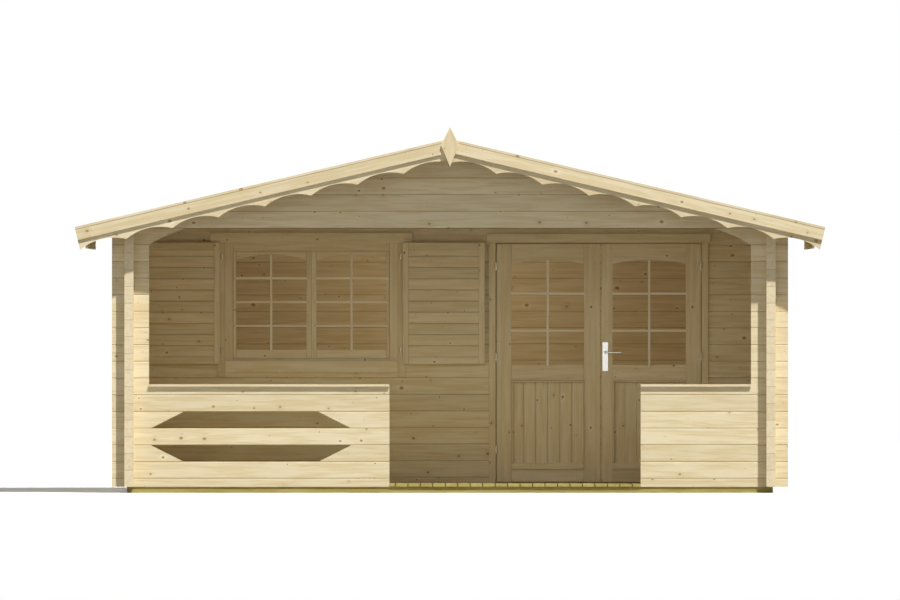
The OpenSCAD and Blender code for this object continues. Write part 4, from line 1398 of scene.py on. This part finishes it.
@dataclass
class GlazingBars(Cabin):
    """Flat bars with round ends that lie on both faces of a pane's frame."""

    width: float = 18.0
    thick: float = 9.0
    lap: float = 20.0
    # the share of the lap at the crown
    crown_lap: float = 0.6
    # how far an upright bar stands out past the bars that it crosses
    upright_extra: float = 1.0
    pin_off: float = 0.4
    arc_steps: int = 10

    def _bar(self, upright: bool, at: float, ends: Point2, y: float,
             proud: float) -> Mesh:
        """Makes one bar.

        Args:
            upright: True if it runs up, False if it runs across.
            at: Place of its middle line on the other axis.
            ends: Its lower or left end and its upper or right end.
            y: Face that it lies on.
            proud: How far it stands out, negative towards the front.

        Returns:
            Its mesh, with its grain marked.
        """
        half = self.width / 2
        start, end = ends
        arc = [math.pi * i / self.arc_steps for i in range(self.arc_steps + 1)]
        outline = [(end - half + half * math.sin(a), half * math.cos(a)) for a in arc]
        outline += [(start + half - half * math.sin(a), -half * math.cos(a)) for a in arc]
        points = [(at - across, along) if upright else (along, at + across)
                  for along, across in outline]
        mesh = prism(points, Axis.Y, min(y, y + proud), max(y, y + proud), JOINERY_EASE)
        grain = Grain.UPRIGHT if upright else Grain.ACROSS
        return WoodMarker(grain, seed=int(at) + 7).mark(mesh)

    def grid(self, name: str, body: str, x: Point2, z: Point2, rows: Sequence[float],
             faces: Point2) -> None:
        """Makes the bars of one pane, on both of its faces.

        Args:
            name: Name of the piece.
            body: Body that it moves with.
            x: Left and right edge of the glass.
            z: Foot and crown of the glass.
            rows: Heights of the bars that run across, above the foot.
            faces: Outer and inner face of the frame.
        """
        meshes = []
        middle = sum(x) / 2
        foot, crown = z[0] - self.lap, z[1] + self.lap * self.crown_lap
        left, right = x[0] - self.lap, x[1] + self.lap
        inset = self.width / 2
        levels = [z[0] + row for row in rows]
        for y, way, label in ((faces[0], -1, "outer"), (faces[1], 1, "inner")):
            tall = self.thick + self.upright_extra
            meshes.append(self._bar(True, middle, (foot, crown), y, way * tall))
            meshes += [self._bar(False, level, (left, right), y, way * self.thick)
                       for level in levels]
            places = [Vector((end, y + way * (self.thick + self.pin_off), level))
                      for level in levels for end in (left + inset, right - inset)]
            places += [Vector((middle, y + way * (tall + self.pin_off), end))
                       for end in (foot + inset, crown - inset)]
            self.screw(f"{name}_{label}_pins", places, body, radius=5.0, crown=4.4, rise=1.4,
                       facing=(0.0, float(way), 0.0))
        self.lay(name, meshes, body, self.finishes.bars())


@dataclass
class Window(GlazingBars):
    """The window: frame, casings, two sashes, glass and bars."""

    meeting: float = 38.0
    stile: float = 22.0
    rail: float = 68.0
    crown: float = 24.5
    rows: tuple[float, ...] = (175.5, 353.0, 530.0)
    head_screws: int = 4
    screw_margin: float = 90.0
    screw_drop: float = 40.0

    def make(self) -> None:
        """Makes every piece of the window."""
        for node in ("window_frame", "window_casings", "window_sashes"):
            self.eased_copy(node, "cabin", WoodMarker(Grain.OWN, seed=len("eased_" + node)))
        self.dress(self.finishes.glass(), "window_glass")
        low, high = self.ends("window_sashes")
        middle = (low.x + high.x) / 2
        for side, label in ((-1, "left"), (1, "right")):
            outer = high.x if side > 0 else low.x
            left, right = sorted((middle + side * self.meeting, outer - side * self.stile))
            self.grid(f"{label}_sash_bars", "cabin", (left, right),
                      (low.z + self.rail, high.z - self.crown), self.rows, (low.y, high.y))
        self._casing_screws()

    def _casing_screws(self) -> None:
        """Small screws in the casing boards."""
        low, high = self.ends("window_casings")
        inner_low, inner_high = self.ends("window_sashes")
        margin = self.screw_margin
        steps = self.head_screws - 1
        heads = [(low.x + margin + (high.x - low.x - 2 * margin) * i / steps,
                  high.z - self.screw_drop) for i in range(self.head_screws)]
        heads += [(x, low.z + self.screw_drop)
                  for x in (inner_low.x - margin, inner_high.x + margin)]
        self.screw("window_casing_screws", [Vector((x, low.y - HEAD_OFF, z)) for x, z in heads],
                   radius=3.0, rise=0.8, facing=(0.0, -1.0, 0.0))


@dataclass
class Shutters(Cabin):
    """The two hinged shutters."""

    board: float = 83.3
    stile: float = 44.1
    rail: float = 53.1
    tone_seed: int = 9
    tones: int = 30

    def make(self) -> None:
        """Makes both shutters and their hinges."""
        for side in ("left", "right"):
            node = f"{side}_shutter"
            piece = self.eased_copy(node, node, WoodMarker(Grain.OWN, seed=21))
            self._turn_panel(piece.data)
            self.dress(self.finishes.plated(), f"{side}_shutter_hinges")
        self.dress(self.finishes.plated(), "shutter_hinge_pins")

    def _turn_panel(self, mesh: Mesh) -> None:
        """Turns the grain of the panel's boards across, and gives each board its tone.

        Args:
            mesh: The marked mesh of a shutter.
        """
        wood, tone, end = (mesh.attributes[name].data for name in ("wood", "tone", "end"))
        xs = [v.co.x for v in mesh.vertices]
        zs = [v.co.z for v in mesh.vertices]
        left, right = min(xs) + self.stile * MM, max(xs) - self.stile * MM
        foot, top = min(zs) + self.rail * MM, max(zs) - self.rail * MM
        draw = random.Random(self.tone_seed)
        shades = [draw.random() for _ in range(self.tones)]
        mesh.materials.append(self.finishes.panel())
        for face in mesh.polygons:
            centre = face.center
            if not (left < centre.x < right and foot < centre.z < top):
                continue
            face.material_index = 1
            row = int((centre.z - foot) / MM / self.board)
            middle = foot / MM + (row + 0.5) * self.board
            for i in face.loop_indices:
                place = mesh.vertices[mesh.loops[i].vertex_index].co / MM
                wood[i].vector = (place.x, place.z - middle, place.y)
                tone[i].value = shades[row]
                end[i].value = 0.0


@dataclass
class DoubleDoor(GlazingBars):
    """The double door: frame, casings, leaves, glass, bars, hinges, lock and lever."""

    hinge_stile: float = 112.0
    left_meeting: float = 122.0
    right_meeting: float = 84.0
    rows: tuple[float, ...] = (254.0, 530.0)
    foot: float = 872.5
    crown: float = 119.5
    panel_foot: float = 92.5
    panel_height: float = 664.0
    panel_recess: float = 10.0
    drip_height: float = 48.0
    bead_width: float = 12.0
    bead_proud: float = 5.0
    bead_gap: float = 0.6
    bead_edge: float = 2.0
    # the lock's cylinder: a round barrel over a narrow foot, below the plates' top
    lock_drop: float = 168.0
    barrel_radius: float = 8.5
    barrel_rise: float = 10.0
    lock_foot: tuple[Point2, ...] = ((-5.0, -14.0), (0.0, -17.0), (5.0, -14.0))
    lock_proud: float = 2.5
    lock_edge: float = 0.6
    plate_inset: float = 12.0

    def make(self) -> None:
        """Makes every piece of the door."""
        self.eased_copy("door_frame", "cabin", WoodMarker(Grain.OWN, seed=31))
        self.eased_copy("door_casings", "cabin", WoodMarker(Grain.OWN, seed=33))
        front = self.low("right_door_leaf").y
        stiles = {"left": (self.hinge_stile, self.left_meeting),
                  "right": (self.right_meeting, self.hinge_stile)}
        for side, (first, last) in stiles.items():
            node, body = f"{side}_door_leaf", f"{side}_door"
            low, high = self.ends(node)
            self.eased_copy(node, body, WoodMarker(Grain.OWN, seed=35))
            self.dress(self.finishes.glass(), f"{side}_door_glass")
            self.dress(self.finishes.plated(), f"{side}_door_hinges")
            x = (low.x + first, high.x - last)
            self.grid(f"{side}_door_bars", body, x, (low.z + self.foot, high.z - self.crown),
                      self.rows, (front, high.y))
            self._beads(f"{side}_panel_beads", body, x, low.z + self.panel_foot, front)
        self.dress(self.finishes.plated(), "door_hinge_pins")
        self.dress(self.finishes.anodised(), "handle_plates", "door_lever")
        self._lock()

    def _beads(self, name: str, body: str, x: Point2, foot: float, face: float) -> None:
        """Frames a panel with a thin bead at its sides and its head.

        Args:
            name: Name of the piece.
            body: Body that it moves with.
            x: Left and right edge of the panel.
            foot: Foot of the panel.
            face: Outer face of the leaf.
        """
        gap, width = self.bead_gap, self.bead_width
        start, end = x
        top = foot + self.panel_height - gap
        low = foot + self.drip_height + 1
        # left and right side, then the head: edges, foot, top, grain and seed
        beads = ((start + gap, start + width, low, top - width, Grain.UPRIGHT, 51),
                 (end - width, end - gap, low, top - width, Grain.UPRIGHT, 52),
                 (start + gap, end - gap, top - width, top, Grain.ACROSS, 57))
        meshes = [WoodMarker(grain, seed=seed).mark(prism(
            [(x0, z0), (x1, z0), (x1, z1), (x0, z1)], Axis.Y, face - self.bead_proud,
            face + self.panel_recess - gap, self.bead_edge))
            for x0, x1, z0, z1, grain, seed in beads]
        self.lay(name, meshes, body, self.finishes.joinery())

    def _lock(self) -> None:
        """The profile cylinder and the screws of the handle plates."""
        low, high = self.ends("handle_plates")
        finish = self.finishes.anodised()
        x = (low.x + high.x) / 2
        z = high.z - self.lock_drop
        radius = self.barrel_radius
        slot = [(x + radius * math.sin(a), z + self.barrel_rise + radius * math.cos(a))
                for a in (math.radians(t) for t in range(120, -121, -20))]
        slot += [(x + across, z + up) for across, up in self.lock_foot]
        cylinder = prism(slot, Axis.Y, low.y - self.lock_proud, high.y + self.lock_proud,
                         self.lock_edge)
        self.lay("lock_cylinder", [cylinder], "right_door", finish, "hinge_steel")
        for name, y, way in (("outer_plate_screws", low.y, -1.0),
                             ("inner_plate_screws", high.y, 1.0)):
            places = [Vector((x, y + HEAD_OFF * way, level))
                      for level in (high.z - self.plate_inset, low.z + self.plate_inset)]
            self.screw(name, places, "right_door", finish, radius=3.2, rise=0.8,
                       facing=(0.0, way, 0.0))


# ---- Studio -------------------------------------------------------------------


@dataclass(frozen=True)
class Sun:
    """A distant lamp: its strength, the way to it and its spread in degrees."""

    name: str
    strength: float
    way: tuple[float, float, float]
    spread: float


@dataclass
class Studio:
    """The floor, the light and the camera, in metres."""

    lens: float = 1100.0
    sensor: float = 36.0
    far: float = 1000.0
    width_share: float = 1.2005
    aim_height_share: float = 0.5272
    suns: tuple[Sun, ...] = (Sun("sun", 3.75, (0.68, -1.0, 1.76), 1.5),
                             Sun("fill", 0.47, (-0.15, -1.0, 0.1), 60.0),
                             Sun("back", 1.1, (-0.6, 1.0, 0.8), 25.0))
    lamp_colour: tuple[float, float, float] = (1.0, 0.99, 0.965)
    sky: float = 0.13
    room_power: float = 13.0
    room_height: float = 1.5
    room_size: float = 0.4
    floor_radius: float = 70.0
    floor_sides: int = 64
    floor_drop: float = 0.0004
    floor_colour: str = "#f6f6f6"
    floor_bounce: str = "#8c8c89"

    def camera(self) -> None:
        """Places a long lens in front of the cabin, at the height of its middle."""
        low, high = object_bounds()
        data = bpy.data.cameras.new("camera")
        data.lens = self.lens
        data.sensor_width = self.sensor
        data.clip_end = self.far
        camera = bpy.data.objects.new("camera", data)
        bpy.context.scene.collection.objects.link(camera)
        away = (high.x - low.x) * self.width_share * self.lens / data.sensor_width
        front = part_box("corner_posts")[0].y
        camera.location = ((low.x + high.x) / 2, front - away,
                           low.z + (high.z - low.z) * self.aim_height_share)
        camera.rotation_euler = (math.pi / 2, 0.0, 0.0)
        bpy.context.scene.camera = camera

    def _lamp(self, name: str, kind: str, energy: float, **settings: Any) -> Piece:
        """Adds a lamp.

        Args:
            name: Its name.
            kind: Its type.
            energy: Its strength or power.
            **settings: Properties of its data.

        Returns:
            The lamp.
        """
        data = bpy.data.lights.new(name, kind)
        for key, value in {"energy": energy, "color": self.lamp_colour, **settings}.items():
            setattr(data, key, value)
        lamp = bpy.data.objects.new(name, data)
        bpy.context.scene.collection.objects.link(lamp)
        return lamp

    def light(self) -> None:
        """A sun, a soft fill from the front and from behind, an even sky and a room lamp."""
        for sun in self.suns:
            lamp = self._lamp(sun.name, "SUN", sun.strength, angle=math.radians(sun.spread))
            lamp.rotation_euler = Vector(sun.way).to_track_quat("Z", "Y").to_euler()
            lamp.visible_glossy = sun.name == "sun"
        room = self._lamp("room", "POINT", self.room_power, shadow_soft_size=self.room_size)
        low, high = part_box("room_floor")
        room.location = ((low.x + high.x) / 2, (low.y + high.y) / 2, high.z + self.room_height)
        room.visible_camera = False
        room.visible_glossy = False
        room.visible_transmission = False
        world = bpy.data.worlds.new("studio")
        bpy.context.scene.world = world
        world.use_nodes = True
        tree = world.node_tree
        tree.nodes.clear()
        strength = add_node(tree, "ShaderNodeMapRange", {
            "Value": self._seen(tree), "To Min": self.sky, "To Max": 1.0})
        sky = add_node(tree, "ShaderNodeBackground", {
            "Color": (1.0, 1.0, 1.0, 1.0), "Strength": strength.outputs[0]})
        add_node(tree, "ShaderNodeOutputWorld", {"Surface": sky.outputs[0]})

    def _seen(self, tree: Tree) -> Any:
        """Tells the rays that are seen from those that light.

        Args:
            tree: A material's or the world's tree.

        Returns:
            1 on rays of the camera, gloss or clear glass, 0 on the others.
        """
        rays = add_node(tree, "ShaderNodeLightPath").outputs
        seen = add_node(tree, MATHS, {0: rays["Is Camera Ray"], 1: rays["Is Glossy Ray"]},
                        operation="MAXIMUM")
        return add_node(tree, MATHS, {0: seen, 1: rays["Is Transmission Ray"]},
                        operation="MAXIMUM")

    def floor(self) -> None:
        """A wide pale floor that takes the cabin's shadow and throws little light back."""
        angles = (math.tau * i / self.floor_sides for i in range(self.floor_sides))
        ring = [(self.floor_radius * math.cos(a), self.floor_radius * math.sin(a),
                 -self.floor_drop) for a in angles]
        mesh = bpy.data.meshes.new("floor")
        mesh.from_pydata(ring, [], [list(range(self.floor_sides))])
        floor = link_object("floor", mesh)
        material, tree = blank_material("pale matt floor")
        colour = add_node(tree, "ShaderNodeMix", {
            0: self._seen(tree), 6: linear(self.floor_bounce), 7: linear(self.floor_colour)},
            data_type="RGBA").outputs[2]
        matt = add_node(tree, "ShaderNodeBsdfDiffuse", {"Color": colour})
        add_node(tree, "ShaderNodeOutputMaterial", {"Surface": matt})
        floor.data.materials.append(material)
        floor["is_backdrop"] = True

    def make(self) -> None:
        """Sets the whole studio up."""
        self.camera()
        self.light()
        self.floor()
        bpy.context.scene.view_settings.view_transform = "Standard"


def corners() -> list[list[float]]:
    """Lowest and highest corner of what shows, as plain lists."""
    return [list(corner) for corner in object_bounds()]


def main() -> None:
    """Builds the cabin's looks and the studio."""
    logging.basicConfig(level=logging.INFO, format="%(name)s: %(message)s")
    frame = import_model()
    finishes = Finishes()
    for part in (Walls, Ground, Roof, Window, Shutters, DoubleDoor):
        part(frame, finishes).make()
        LOG.info("%s done", part.__name__)
    Studio().make()


if __name__ == "__main__":
    main()
